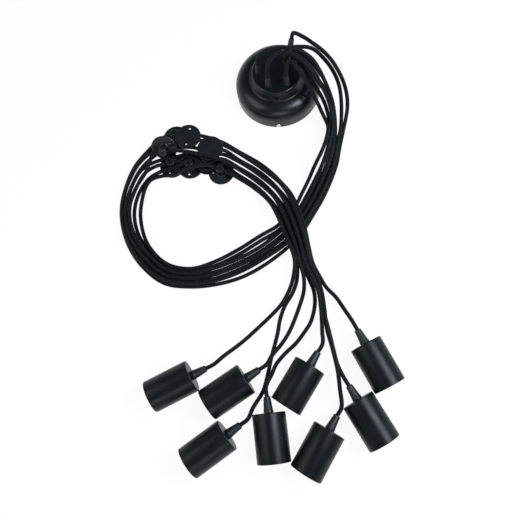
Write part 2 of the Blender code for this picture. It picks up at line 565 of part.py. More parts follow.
def make_sockets():
    """The lampholder covers, the lampholders in them and the grips on their closed ends."""
    inner = CUP_RADIUS - CUP_WALL
    cap = CUP_LENGTH - CUP_CAP
    cup_profile = (
        (CUP_RADIUS, 0),
        (CUP_RADIUS, CUP_LENGTH - CUP_EDGE),
        (CUP_RADIUS - CUP_EDGE, CUP_LENGTH),
        (CUP_HOLE_RADIUS, CUP_LENGTH),
        (CUP_HOLE_RADIUS, cap),
        (inner, cap),
        (inner, 0),
    )
    neck_end = cap - GAP
    holder_profile = (
        (HOLDER_BORE_RADIUS, HOLDER_FRONT),
        (HOLDER_BODY_RADIUS, HOLDER_FRONT),
        (HOLDER_BODY_RADIUS, HOLDER_BODY_END),
        (HOLDER_NECK_RADIUS, HOLDER_NECK_START),
        (HOLDER_NECK_RADIUS, neck_end),
        (HOLDER_NECK_BORE_RADIUS, neck_end),
        (HOLDER_NECK_BORE_RADIUS, neck_end - HOLDER_NECK_BORE_DEPTH),
        (0, neck_end - HOLDER_NECK_BORE_DEPTH),
        (0, HOLDER_CONTACT_FRONT),
        (HOLDER_CONTACT_RADIUS, HOLDER_CONTACT_FRONT),
        (HOLDER_CONTACT_RADIUS, HOLDER_BORE_END),
        (HOLDER_BORE_RADIUS, HOLDER_BORE_END),
    )
    grip_base = CUP_LENGTH + GAP
    stem_end = neck_end - HOLDER_NECK_BORE_DEPTH + GAP
    grip_profile = (
        (0, stem_end),
        (SOCKET_GRIP_STEM_RADIUS, stem_end),
        (SOCKET_GRIP_STEM_RADIUS, grip_base),
        (SOCKET_GRIP_BASE_RADIUS, grip_base),
        (SOCKET_GRIP_BASE_RADIUS, grip_base + SOCKET_GRIP_BASE_HEIGHT),
        (SOCKET_GRIP_TIP_RADIUS, grip_base + SOCKET_GRIP_LENGTH),
        (0, grip_base + SOCKET_GRIP_LENGTH),
    )
    for number in CUP_PLACES:
        place = socket_place(number)
        turned(f"lampholder_cover_{number}", cup_profile, CUP_SEGMENTS, place, "cup_paint", closed=True)
        turned(f"lampholder_{number}", holder_profile, HOLDER_SEGMENTS, place, "phenolic", closed=True)
        turned(f"lampholder_grip_{number}", grip_profile, GRIP_SEGMENTS, place, "nylon")


def smooth_curve(points, step):
    """Points at an even step on a centripetal curve through the given ones, and their places among these."""
    points = np.asarray(points, float)
    ends = np.vstack([2 * points[0] - points[1], points, 2 * points[-1] - points[-2]])
    share = np.linspace(0, 1, CURVE_STEPS, endpoint=False)
    runs, places = [], []
    for i in range(1, len(ends) - 2):
        p = ends[i - 1:i + 3]
        knots = np.concatenate([[0], np.cumsum(np.linalg.norm(np.diff(p, axis=0), axis=1) ** 0.5)])
        t = (knots[1] + (knots[2] - knots[1]) * share)[:, None]
        rows = list(p)
        for reach in (1, 2):
            shares = [(t - knots[j]) / (knots[j + reach] - knots[j]) for j in range(len(rows) - 1)]
            rows = [rows[j] * (1 - share_on) + rows[j + 1] * share_on for j, share_on in enumerate(shares)]
        runs.append(((knots[2] - t) * rows[0] + (t - knots[1]) * rows[1]) / (knots[2] - knots[1]))
        places.append(i - 1 + share)
    runs.append(points[-1:])
    places.append([len(points) - 1])
    curve, place = np.vstack(runs), np.concatenate(places)
    along = np.concatenate([[0], np.cumsum(np.linalg.norm(np.diff(curve, axis=0), axis=1))])
    even = np.linspace(0, along[-1], round(along[-1] / step) + 1)
    return np.stack([np.interp(even, along, curve[:, i]) for i in range(3)], 1), np.interp(even, along, place)


def lane_points(rows, lane):
    """This lane's point in each row of the bundle."""
    found = []
    for inner, outer, shares in rows:
        share = shares[len(shares) - lane]
        found.append(tuple(a + (b - a) * share for a, b in zip(inner, outer)) + (0,))
    return found


def route(number):
    """A cord's chosen points from its canopy grip to its lampholder grip, and the stage of each."""
    place = grip_place(number)
    start = place @ Vector((0, 0, CANOPY_GRIP_HEIGHT + GAP))
    socket = socket_place(number)
    reach = CUP_LENGTH + GAP + SOCKET_GRIP_LENGTH + GAP
    tail = [tuple(socket @ Vector((0, 0, reach + more))) for more in TAIL_REACH]
    lane = CORD_LANE[number]
    stages = (
        [tuple(start), *ROUTE_RISE[number], *ROUTE_DOWN[number][:-SETTLED_DOWN_COUNT]],
        [*ROUTE_DOWN[number][-SETTLED_DOWN_COUNT:], *lane_points(BAND, lane)],
        list(ROUTE_HOOKS[number]),
        [*lane_points(CROSSING, lane), *[(x, y, 0) for x, y in ROUTE_OUT[number]], *tail],
    )
    points = [point for stage in stages for point in stage]
    return np.array(points), np.concatenate([[i] * len(stage) for i, stage in enumerate(stages)])


def settled_cords():
    """Each cord's smooth line, raised where it lies over another cord."""
    lines, stages, least, hanging = {}, {}, {}, {}
    for number in LAYING_ORDER:
        points, stage = route(number)
        line, place = smooth_curve(points, CORD_STEP)
        here = stage[np.clip(np.round(place).astype(int), 0, len(stage) - 1)]
        line[:, 2] = np.maximum(line[:, 2], CORD_RADIUS)
        left = CORD_STEP * np.arange(len(line))[::-1]
        fall = np.clip((left - CORD_END_STRAIGHT) / CORD_END_DROP, 0, 1)
        end_height = CORD_RADIUS + (CUP_RADIUS - CORD_RADIUS) * (1 + np.cos(math.pi * fall)) / 2
        line[:, 2] = np.where(fall < 1, end_height, line[:, 2])
        down = np.argmax(place >= len(ROUTE_RISE[number]) + len(ROUTE_DOWN[number]))
        gone = CORD_STEP * (np.arange(len(line)) - down)
        hanging[number] = np.clip(1 + gone / HANG_BLEND, 0, 1)
        lines[number], stages[number], least[number] = line, here, line[:, 2].copy()
    half = SETTLE_WINDOW_STEPS
    weights = np.hanning(2 * half + 3)[1:-1]
    weights /= weights.sum()
    for _ in range(SETTLE_SWEEPS):
        for rank, number in enumerate(LAYING_ORDER):
            line = lines[number]
            raised = least[number].copy()
            for other_rank, other in enumerate(LAYING_ORDER):
                if other == number:
                    continue
                below = lines[other]
                apart = ((line[:, None, :2] - below[None, :, :2]) ** 2).sum(-1)
                steps = stages[number][:, None] - stages[other][None, :]
                over = (steps >= 2) | ((np.abs(steps) < 2) & (other_rank < rank))
                touch = (apart < CORD_LAY ** 2) & over
                top = below[None, :, 2] + np.sqrt(np.maximum(CORD_LAY ** 2 - apart, 0))
                raised = np.maximum(raised, np.where(touch, top, 0).max(1))
            raised = np.where(stages[number] == STAGE_RISE, least[number], raised)
            wide = np.pad(raised, half, mode="edge")
            highest = np.array([wide[i:i + 2 * half + 1].max() for i in range(len(raised))])
            laid = np.convolve(np.pad(highest, half, mode="edge"), weights, "valid")
            free = np.convolve(wide, weights, "valid")
            share = hanging[number]
            height = free * (1 - share) + laid * share
            height[0] = least[number][0]
            near_start = CORD_STEP * np.arange(len(line)) < 2 * CORD_END_STRAIGHT
            near_end = CORD_STEP * np.arange(len(line))[::-1] < CORD_END_STRAIGHT
            keep = near_start | near_end
            height[keep] = least[number][keep]
            line[:, 2] = height
    return lines


def hook_frame(number, line):
    """A cord hook's frame: its origin in the base's middle, its Z axis the stem and its X axis the bore."""
    x, height, tilt, turn = HOOK_PLACES[number]
    index = np.argmin(np.where(line[:, 1] > HOOK_FIELD_Y, np.abs(line[:, 0] - x), 1))
    along = Vector(line[index + 2] - line[index - 2])
    along.z = 0
    along.normalize()
    middle = Vector(line[index])
    middle.z = height
    up = Matrix.Rotation(math.radians(tilt), 3, along) @ Vector((0, 0, 1))
    side = up.cross(along)
    frame = Matrix((along, side, up)).transposed().to_4x4()
    origin = middle - up * (HOOK_BASE_SHEET + HOOK_BORE_HEIGHT)
    return Matrix.Translation(origin) @ frame, middle, along, turn


def segment_points(number, line, straight):
    """Fewer points on the line, closer together where it bends, with a straight run through the hook."""
    along = np.concatenate([[0], np.cumsum(np.linalg.norm(np.diff(line, axis=0), axis=1))])
    first = np.gradient(line, along, axis=0)
    second = np.gradient(first, along, axis=0)
    bend = np.linalg.norm(second, axis=1)
    bend = np.convolve(np.pad(bend, 3, mode="edge"), np.full(7, 1 / 7), "valid")
    radius = 1 / np.maximum(bend, 1 / CORD_EASY_RADIUS)
    share = np.clip((radius - CORD_TIGHT_RADIUS) / (CORD_EASY_RADIUS - CORD_TIGHT_RADIUS), 0, 1)
    step = CORD_SEGMENT_SHORT + (CORD_SEGMENT_LONG - CORD_SEGMENT_SHORT) * share
    count = np.concatenate([[0], np.cumsum(np.diff(along) / ((step[1:] + step[:-1]) / 2))])
    even = np.linspace(0, count[-1], round(count[-1]) + 1)
    marks = np.interp(even, count, along)
    middle, way = straight
    index = np.argmin(np.linalg.norm(line - np.array(middle), axis=1))
    at = along[index]
    marks = marks[np.abs(marks - at) > CORD_HOOK_STRAIGHT + CORD_SEGMENT_SHORT / 2]
    inner = (marks > CORD_SEGMENT_SHORT) & (marks < marks[-1] - CORD_SEGMENT_SHORT)
    marks = marks[(marks == 0) | (marks == marks[-1]) | inner]
    points = np.stack([np.interp(marks, along, line[:, i]) for i in range(3)], 1)
    before, after = points[marks < at], points[marks > at]
    through = [np.array(middle) + np.array(way) * side * CORD_HOOK_STRAIGHT for side in (-1, 1)]
    start_way = first[0] / np.linalg.norm(first[0])
    end_way = first[-1] / np.linalg.norm(first[-1])
    start = [line[0], line[0] + start_way * CORD_END_STRAIGHT]
    end = [line[-1] - end_way * CORD_END_STRAIGHT, line[-1]]
    return np.vstack([start, before[1:], through, after[:-1], end])


def tube(name, points, radius, resolution, kind):
    """A round tube along the points."""
    curve = bpy.data.curves.new(name, "CURVE")
    curve.dimensions = "3D"
    curve.bevel_depth = radius
    curve.bevel_resolution = resolution
    curve.use_fill_caps = True
    spline = curve.splines.new("POLY")
    spline.points.add(len(points) - 1)
    for spot, point in zip(spline.points, points):
        spot.co = (*point, 1.0)
    obj = bpy.data.objects.new(name, curve)
    bpy.context.scene.collection.objects.link(obj)
    finish(obj, kind)


def make_hook(number, frame, turn):
    """One cord hook: a round base with two screw holes, and a stem with a cross hole for the cord."""
    stem_top = HOOK_BASE_SHEET + HOOK_STEM_LENGTH
    profile = (
        (0, 0),
        (HOOK_BASE_RADIUS, 0),
        (HOOK_BASE_RADIUS, HOOK_BASE_SHEET - HOOK_EDGE),
        (HOOK_BASE_RADIUS - HOOK_EDGE, HOOK_BASE_SHEET),
        (HOOK_STEM_RADIUS, HOOK_BASE_SHEET),
        (HOOK_STEM_RADIUS, stem_top - HOOK_STEM_EDGE),
        (HOOK_STEM_RADIUS - HOOK_STEM_EDGE, stem_top),
        (0, stem_top),
    )
    hook = turned(f"cord_hook_{number}", profile, HOOK_SEGMENTS, frame, "hook_paint")
    cuts = bmesh.new()
    bore = HOOK_BASE_SHEET + HOOK_BORE_HEIGHT
    reach = HOOK_STEM_RADIUS + THROUGH
    low, high = frame @ Vector((-reach, 0, bore)), frame @ Vector((reach, 0, bore))
    add_rod(cuts, low, high, HOOK_BORE_RADIUS, GRIP_SEGMENTS)
    for side in (0, math.pi):
        angle = math.radians(turn) + side
        x, y = HOOK_SCREW_HOLE_PLACE * math.cos(angle), HOOK_SCREW_HOLE_PLACE * math.sin(angle)
        low, high = frame @ Vector((x, y, -THROUGH)), frame @ Vector((x, y, HOOK_BASE_SHEET + THROUGH))
        add_rod(cuts, low, high, HOOK_SCREW_HOLE_RADIUS, GRIP_SEGMENTS)
    boolean(hook, cuts, "DIFFERENCE", "_cuts")


def make_cords():
    """The cords and the hooks that ride on them."""
    for number, line in settled_cords().items():
        frame, middle, way, turn = hook_frame(number, line)
        make_hook(number, frame, turn)
        points = segment_points(number, line, (middle, way))
        length = np.linalg.norm(np.diff(points, axis=0), axis=1).sum()
        print(f"cord {number}: {len(points)} points, {length * 1000:.0f} mm")
        tube(f"cord_{number}", points, CORD_RADIUS, CORD_BEVEL_RESOLUTION, "textile")


def main():
    """Builds the whole light."""
    clear_scene()
    make_canopy()
    make_canopy_grips()
    make_side_screws()
    make_bracket()
    make_terminals()
    for name, points in LEAD_ROUTES.items():
        tube(name, points, LEAD_RADIUS, 1, "lead_brown" if "live" in name else "lead_blue")
    make_sockets()
    make_cords()


main()
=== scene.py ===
"""Spider pendant light, dressed: a black canopy, eight textile cords, eight cord hooks and eight lampholders.

Metres, in the CAD frame: the canopy stands at the origin with its ceiling face on the table, Z = 0.
Every new piece is a surface worked out with numpy and rides on the CAD body that carries it.
"""

from __future__ import annotations

import logging
import math
from dataclasses import dataclass, field
from enum import Enum
from typing import Sequence

import bmesh
import bpy
import numpy as np
from mathutils import Matrix, Vector


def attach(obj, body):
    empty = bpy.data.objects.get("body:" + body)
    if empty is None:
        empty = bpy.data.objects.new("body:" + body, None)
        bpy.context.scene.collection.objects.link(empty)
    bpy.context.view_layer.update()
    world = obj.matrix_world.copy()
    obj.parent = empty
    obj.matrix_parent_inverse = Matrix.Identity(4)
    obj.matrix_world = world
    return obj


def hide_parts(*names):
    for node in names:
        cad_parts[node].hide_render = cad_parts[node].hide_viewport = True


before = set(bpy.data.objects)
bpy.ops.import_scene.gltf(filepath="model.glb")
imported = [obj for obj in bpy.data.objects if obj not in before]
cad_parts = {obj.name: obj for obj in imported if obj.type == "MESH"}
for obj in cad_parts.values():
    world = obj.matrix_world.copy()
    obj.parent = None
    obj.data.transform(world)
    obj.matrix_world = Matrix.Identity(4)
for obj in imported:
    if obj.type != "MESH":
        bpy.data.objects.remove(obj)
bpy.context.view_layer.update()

logging.basicConfig(level=logging.INFO, format="%(message)s")
LOG = logging.getLogger("spider_light")

Array = np.ndarray
Surface = tuple[Array, Array]
Setting = float | int | bool | str | tuple | bpy.types.NodeSocket | bpy.types.Node
# The clearance between parts that only touch, so that their faces never lie in one plane
GAP = 0.0003

# From each canopy grip to the canopy's edge: the points that each cord passes through
ROUTE_RISE = {
    1: ((0.0144, -0.0226, 0.0795), (0.0163, -0.0213, 0.089), (0.0186, -0.0153, 0.0955),
        (0.025, -0.0159, 0.097), (0.0318, -0.024, 0.093), (0.0383, -0.0306, 0.084)),
    2: ((-0.0123, -0.0238, 0.08), (-0.0115, -0.0205, 0.089), (-0.0083, -0.0135, 0.0965),
        (-0.0016, -0.0086, 0.101), (0.0077, -0.0058, 0.103), (0.0183, -0.0058, 0.103),
        (0.0294, -0.0094, 0.1005), (0.0397, -0.0164, 0.0965), (0.0491, -0.025, 0.0905)),
    3: ((0.026, 0.0015, 0.077), (0.0288, 0, 0.0815), (0.0351, -0.0083, 0.083), (0.0437, -0.0221, 0.078)),
    4: ((0.0148, 0.0016, 0.0785), (0.0181, 0.0028, 0.086), (0.0264, -0.0012, 0.0905),
        (0.037, -0.0091, 0.0895), (0.0474, -0.0173, 0.084)),
    5: ((-0.0268, -0.0012, 0.079), (-0.0235, 0.0011, 0.0895), (-0.0147, 0.0027, 0.097),
        (-0.0035, 0.002, 0.103), (0.008, -0.0003, 0.1075), (0.0193, -0.0021, 0.1095),
        (0.0311, -0.0045, 0.1085), (0.0421, -0.0092, 0.105), (0.0531, -0.0162, 0.099)),
    6: ((0.0148, 0.013, 0.0785), (0.0181, 0.013, 0.0855), (0.0259, 0.012, 0.0905), (0.0374, 0.0103, 0.0925),
        (0.0473, 0.01, 0.091), (0.0573, 0.0073, 0.0865), (0.0679, 0, 0.0795)),
    7: ((0.026, 0.013, 0.077), (0.0291, 0.0123, 0.0815), (0.0364, 0.0073, 0.084), (0.0474, -0.0025, 0.0825)),
    8: ((0.025, 0.0454, 0.0738), (0.0284, 0.0418, 0.082), (0.0355, 0.0345, 0.086), (0.0455, 0.0254, 0.0885),
        (0.0553, 0.0158, 0.0895), (0.0657, 0.0063, 0.0895)),
}
# From the canopy's edge down to the table
ROUTE_DOWN = {
    1: ((0.0468, -0.0385, 0.069), (0.0544, -0.0474, 0.056), (0.0631, -0.0588, 0.041),
        (0.0709, -0.0721, 0.024), (0.0747, -0.0876, 0.012), (0.0714, -0.1077, 0)),
    2: ((0.0584, -0.0354, 0.081), (0.0681, -0.0447, 0.068), (0.0752, -0.0549, 0.0545),
        (0.0795, -0.064, 0.0415), (0.0813, -0.0758, 0.03), (0.0804, -0.0904, 0.017), (0.0766, -0.1079, 0)),
    3: ((0.0528, -0.0332, 0.069), (0.061, -0.0415, 0.058), (0.0688, -0.0498, 0.045), (0.0744, -0.0597, 0.03),
        (0.0775, -0.072, 0.014), (0.0776, -0.0875, 0.005), (0.0744, -0.108, 0)),
    4: ((0.0594, -0.0281, 0.072), (0.0696, -0.0373, 0.057), (0.0768, -0.0471, 0.041),
        (0.0815, -0.0553, 0.026), (0.0837, -0.0676, 0.0145), (0.0829, -0.0849, 0.006), (0.0793, -0.108, 0)),
    5: ((0.0617, -0.0263, 0.0915), (0.0693, -0.0367, 0.0795), (0.0761, -0.0449, 0.0635),
        (0.081, -0.0527, 0.046), (0.0831, -0.0616, 0.031), (0.084, -0.074, 0.0202), (0.0832, -0.0893, 0.008),
        (0.0817, -0.108, 0)),
    6: ((0.0775, -0.0087, 0.072), (0.0858, -0.0199, 0.0645), (0.0916, -0.0321, 0.056),
        (0.0948, -0.0453, 0.042), (0.0957, -0.0605, 0.028), (0.095, -0.0739, 0.0165),
        (0.0931, -0.0887, 0.006), (0.0881, -0.1081, 0)),
    7: ((0.0587, -0.0135, 0.076), (0.0691, -0.0258, 0.065), (0.0769, -0.0367, 0.05), (0.0825, -0.0452, 0.033),
        (0.0856, -0.0533, 0.016), (0.0869, -0.066, 0.005), (0.0866, -0.0869, 0.003), (0.0848, -0.1079, 0)),
    8: ((0.0782, -0.0067, 0.086), (0.0895, -0.0209, 0.077), (0.0976, -0.0328, 0.0645),
        (0.1031, -0.0451, 0.048), (0.1042, -0.0571, 0.033), (0.1017, -0.0708, 0.019),
        (0.0977, -0.0864, 0.006), (0.0924, -0.1081, 0)),
}
# Which of the eight lanes of the bundle each cord keeps, from the outer lane 1 to the inner lane 8
CORD_LANE = {1: 8, 3: 7, 2: 6, 4: 5, 5: 4, 7: 3, 6: 2, 8: 1}
EVEN_SHARE = tuple(i / 7 for i in range(8))
# The bundle's inner edge, its outer edge, and each lane's share of the way between them
BAND = (
    ((0.062, -0.132), (0.087, -0.134), EVEN_SHARE),
    ((0.046, -0.157), (0.075, -0.166), (0, 0.24, 0.36, 0.48, 0.61, 0.74, 0.87, 1)),
    ((0.035, -0.178), (0.063, -0.191), (0, 0.24, 0.36, 0.48, 0.61, 0.74, 0.87, 1)),
    ((0.025, -0.199), (0.05, -0.213), (0, 0.2, 0.33, 0.46, 0.6, 0.73, 0.87, 1)),
    ((0.011, -0.218), (0.034, -0.238), EVEN_SHARE),
    ((-0.005, -0.232), (0.012, -0.262), EVEN_SHARE),
    ((-0.03, -0.246), (-0.022, -0.288), (0, 0.14, 0.36, 0.48, 0.6, 0.71, 0.82, 1)),
    ((-0.06, -0.265), (-0.056, -0.306), (0, 0.14, 0.33, 0.45, 0.57, 0.69, 0.82, 1)),
    ((-0.095, -0.283), (-0.093, -0.316), EVEN_SHARE),
    ((-0.13, -0.293), (-0.132, -0.319), EVEN_SHARE),
    ((-0.165, -0.286), (-0.171, -0.313), EVEN_SHARE),
    ((-0.192, -0.262), (-0.208, -0.284), EVEN_SHARE),
    ((-0.207, -0.232), (-0.232, -0.246), (0, 0.3, 0.42, 0.54, 0.65, 0.77, 0.88, 1)),
    ((-0.213, -0.2), (-0.243, -0.202), (0, 0.32, 0.43, 0.54, 0.66, 0.77, 0.88, 1)),
    ((-0.207, -0.168), (-0.239, -0.162), (0, 0.26, 0.38, 0.5, 0.62, 0.74, 0.87, 1)),
    ((-0.198, -0.152), (-0.222, -0.119), EVEN_SHARE),
)
# Through the hooks, with the least height of the cord's middle
ROUTE_HOOKS = {
    1: ((-0.18, -0.1455, 0.006), (-0.164, -0.1445, 0.006), (-0.139, -0.139, 0.0085),
        (-0.113, -0.1355, 0.0145), (-0.09, -0.14, 0.0138), (-0.062, -0.154, 0.003)),
    2: ((-0.19, -0.114, 0.018), (-0.1755, -0.1115, 0.0245), (-0.142, -0.115, 0.027), (-0.113, -0.122, 0.029),
        (-0.089, -0.129, 0.022), (-0.062, -0.141, 0.002)),
    3: ((-0.18, -0.137, 0.006), (-0.164, -0.136, 0.007), (-0.1385, -0.1287, 0.0136), (-0.113, -0.139, 0.005),
        (-0.089, -0.1297, 0.007), (-0.062, -0.1475, 0.005)),
    4: ((-0.18, -0.127, 0.008), (-0.166, -0.1255, 0.0116), (-0.137, -0.118, 0.0055),
        (-0.113, -0.1328, 0.0066), (-0.089, -0.1227, 0.0066), (-0.062, -0.1345, 0)),
    5: ((-0.18, -0.118, 0.006), (-0.164, -0.1156, 0.009), (-0.136, -0.1105, 0.0045),
        (-0.112, -0.1222, 0.0116), (-0.089, -0.1153, 0.006), (-0.062, -0.128, 0)),
    6: ((-0.186, -0.094, 0), (-0.164, -0.089, 0.005), (-0.138, -0.088, 0.012), (-0.113, -0.091, 0.007),
        (-0.089, -0.0985, 0.002), (-0.062, -0.114, 0)),
    7: ((-0.184, -0.101, 0), (-0.164, -0.0965, 0.005), (-0.139, -0.099, 0.003), (-0.1035, -0.109, 0.0125),
        (-0.086, -0.107, 0.005), (-0.062, -0.121, 0)),
    8: ((-0.188, -0.086, 0.004), (-0.164, -0.078, 0.0116), (-0.139, -0.0775, 0.005), (-0.113, -0.0805, 0.002),
        (-0.089, -0.0895, 0), (-0.062, -0.107, 0)),
}
# Over the bundle's own start, in the same lanes
CROSSING = (
    ((-0.034, -0.174), (-0.026, -0.131), EVEN_SHARE),
    ((-0.013, -0.198), (0.002, -0.159), EVEN_SHARE),
    ((-0.001, -0.222), (0.02, -0.188), EVEN_SHARE),
    ((0.007, -0.244), (0.036, -0.233), EVEN_SHARE),
    ((0.016, -0.266), (0.042, -0.262), EVEN_SHARE),
)
# From there to each lampholder's grip
ROUTE_OUT = {
    1: ((0.022, -0.29), (0.019, -0.312), (0.011, -0.332), (0, -0.35), (-0.035, -0.383), (-0.058, -0.404),
        (-0.076, -0.419)),
    2: ((0.029, -0.29), (0.034, -0.31), (0.034, -0.328), (0.028, -0.348), (0.013, -0.385), (0.001, -0.405),
        (-0.011, -0.42)),
    3: ((0.025, -0.29), (0.024, -0.312), (0.017, -0.332), (0.006, -0.35), (-0.001, -0.37), (-0.004, -0.387),
        (-0.014, -0.425), (-0.019, -0.448), (-0.025, -0.469), (-0.0368, -0.489)),
    4: ((0.033, -0.29), (0.041, -0.31), (0.048, -0.328), (0.049, -0.348), (0.043, -0.372), (0.035, -0.385),
        (0.021, -0.403), (0.007, -0.416), (-0.006, -0.432), (-0.012, -0.446)),
    5: ((0.036, -0.29), (0.046, -0.31), (0.054, -0.33), (0.057, -0.352), (0.058, -0.374), (0.058, -0.388)),
    6: ((0.044, -0.29), (0.053, -0.31), (0.059, -0.33), (0.062, -0.352), (0.065, -0.386), (0.069, -0.403),
        (0.074, -0.426), (0.077, -0.442), (0.079, -0.464)),
    7: ((0.04, -0.29), (0.049, -0.31), (0.056, -0.33), (0.06, -0.352), (0.068, -0.386), (0.073, -0.412),
        (0.077, -0.432)),
    8: ((0.048, -0.288), (0.056, -0.305), (0.065, -0.322), (0.079, -0.339), (0.09, -0.359)),
}

# The cord laid first lies lowest
CORD_LAYING_ORDER = (8, 7, 3, 4, 6, 5, 2, 1)
# The mouth of each cup in plan and its heading in degrees
CUP_PLACES = {
    1: (-0.1779, -0.4757, 26.6), 2: (-0.0993, -0.4864, 33.5), 3: (-0.1231, -0.5611, 35.4),
    4: (-0.009, -0.5595, 96.4), 5: (0.0066, -0.4879, 57.9), 6: (0.0315, -0.5724, 59.4),
    7: (0.1342, -0.5341, 120.5), 8: (0.1451, -0.462, 117.7),
}
# Plan places on the canopy's top
CANOPY_GRIP_PLACES = {
    1: (0.0144, -0.0226), 2: (-0.0123, -0.0238), 3: (0.026, 0.0015), 4: (0.0148, 0.0016),
    5: (-0.0268, -0.0012), 6: (0.0148, 0.013), 7: (0.026, 0.013), 8: (0.0185, 0.0254),
}
# The one grip that leans: where it leans to in plan and how far, in degrees, and its lift along itself
LEANING_GRIP = 8
LEAN_HEADING, LEAN, LEAN_LIFT = 72.0, 42.0, 0.0039
# cord: plan X and height of the cross hole, tilt from upright and turn of the base in degrees
HOOK_PLACES = {
    1: (-0.09, 0.0138, 0, 20), 2: (-0.1755, 0.0245, 54, 40), 3: (-0.1385, 0.0136, 0, 90),
    4: (-0.166, 0.0116, 0, 65), 5: (-0.112, 0.0116, 0, 10), 6: (-0.138, 0.012, 180, 99),
    7: (-0.1035, 0.0125, 180, 83), 8: (-0.164, 0.0116, 0, 50),
}


# Colours and nodes


def linear(hex_colour: str) -> tuple[float, float, float, float]:
    """Turns an sRGB hex colour into the linear colour a shader takes.

    Args:
        hex_colour: Six hex digits, with or without a leading #.

    Returns:
        Linear red, green, blue and an alpha of 1.
    """
    digits = hex_colour.lstrip("#")
    parts = [int(digits[i:i + 2], 16) / 255 for i in (0, 2, 4)]
    made = [c / 12.92 if c <= 0.04045 else ((c + 0.055) / 1.055) ** 2.4 for c in parts]
    return (made[0], made[1], made[2], 1.0)


def node(tree: bpy.types.NodeTree, kind: str, settings: dict[str, Setting] | None = None,
         **inputs: Setting) -> bpy.types.Node:
    """Adds a node, sets its properties, and sets or links its inputs.

    Args:
        tree: The node tree to add to.
        kind: The node's bl_idname.
        settings: Properties of the node, such as its operation.
        **inputs: Values, sockets, or nodes that give their first output, for its inputs. An underscore
            stands for a space, and iN for the input with index N.

    Returns:
        The new node.
    """
    made = tree.nodes.new(kind)
    for name, value in (settings or {}).items():
        setattr(made, name, value)
    for name, value in inputs.items():
        numbered = name[0] == "i" and name[1:].isdigit()
        socket = made.inputs[int(name[1:])] if numbered else made.inputs[name.replace("_", " ")]
        if isinstance(value, bpy.types.Node):
            value = value.outputs[0]
        if isinstance(value, bpy.types.NodeSocket):
            tree.links.new(value, socket)
        else:
            socket.default_value = value
    return made


class Space(Enum):
    """What a finish's pattern follows."""

    OBJECT = "Object"
    UV = "UV"


@dataclass(frozen=True)
class Finish:
    """A material with two close colours, a fine bump and some change in its gloss.

    grain_mm is the size of the bump's grain and cloud_mm that of the slow change of colour and gloss.
    """

    name: str
    colour: str
    other_colour: str
    roughness: float
    roughness_spread: float = 0.05
    metallic: float = 0.0
    ior: float = 1.5
    grain_mm: float = 0.4
    grain_depth_mm: float = 0.01
    cloud_mm: float = 18.0
    cache: dict[str, bpy.types.Material] = field(default_factory=dict, compare=False, hash=False)

    def material(self) -> bpy.types.Material:
        """Makes the material once and returns it.

        Returns:
            The one material of this finish.
        """
        if self.name not in self.cache:
            made = bpy.data.materials.new(self.name)
            made.use_nodes = True
            made.diffuse_color = linear(self.colour)
            self.build(made.node_tree)
            self.cache[self.name] = made
        return self.cache[self.name]

    def build(self, tree: bpy.types.NodeTree) -> None:
        """Builds the nodes: clouds for colour and gloss, grain for the bump.

        Args:
            tree: The material's node tree.
        """
        shader = tree.nodes["Principled BSDF"]
        place = node(tree, "ShaderNodeTexCoord").outputs[Space.OBJECT.value]
        clouds = node(tree, "ShaderNodeTexNoise", Vector=place, Scale=1000 / self.cloud_mm, Detail=3.0)
        grain = node(tree, "ShaderNodeTexNoise", Vector=place, Scale=1000 / self.grain_mm, Detail=2.0)
        colour = node(tree, "ShaderNodeMix", {"data_type": "RGBA"}, Factor=clouds.outputs["Fac"],
                      i6=linear(self.colour), i7=linear(self.other_colour))
        low, high = self.roughness - self.roughness_spread, self.roughness + self.roughness_spread
        gloss = node(tree, "ShaderNodeMapRange", Value=clouds.outputs["Fac"], From_Min=0.3, From_Max=0.7,
                     To_Min=low, To_Max=high)
        bump = node(tree, "ShaderNodeBump", Height=grain.outputs["Fac"], Strength=1.0,
                    Distance=self.grain_depth_mm / 1000)
        tree.links.new(colour.outputs[2], shader.inputs["Base Color"])
        tree.links.new(gloss.outputs["Result"], shader.inputs["Roughness"])
        tree.links.new(bump.outputs["Normal"], shader.inputs["Normal"])
        shader.inputs["Metallic"].default_value = self.metallic
        if not self.metallic:
            shader.inputs["IOR"].default_value = self.ior


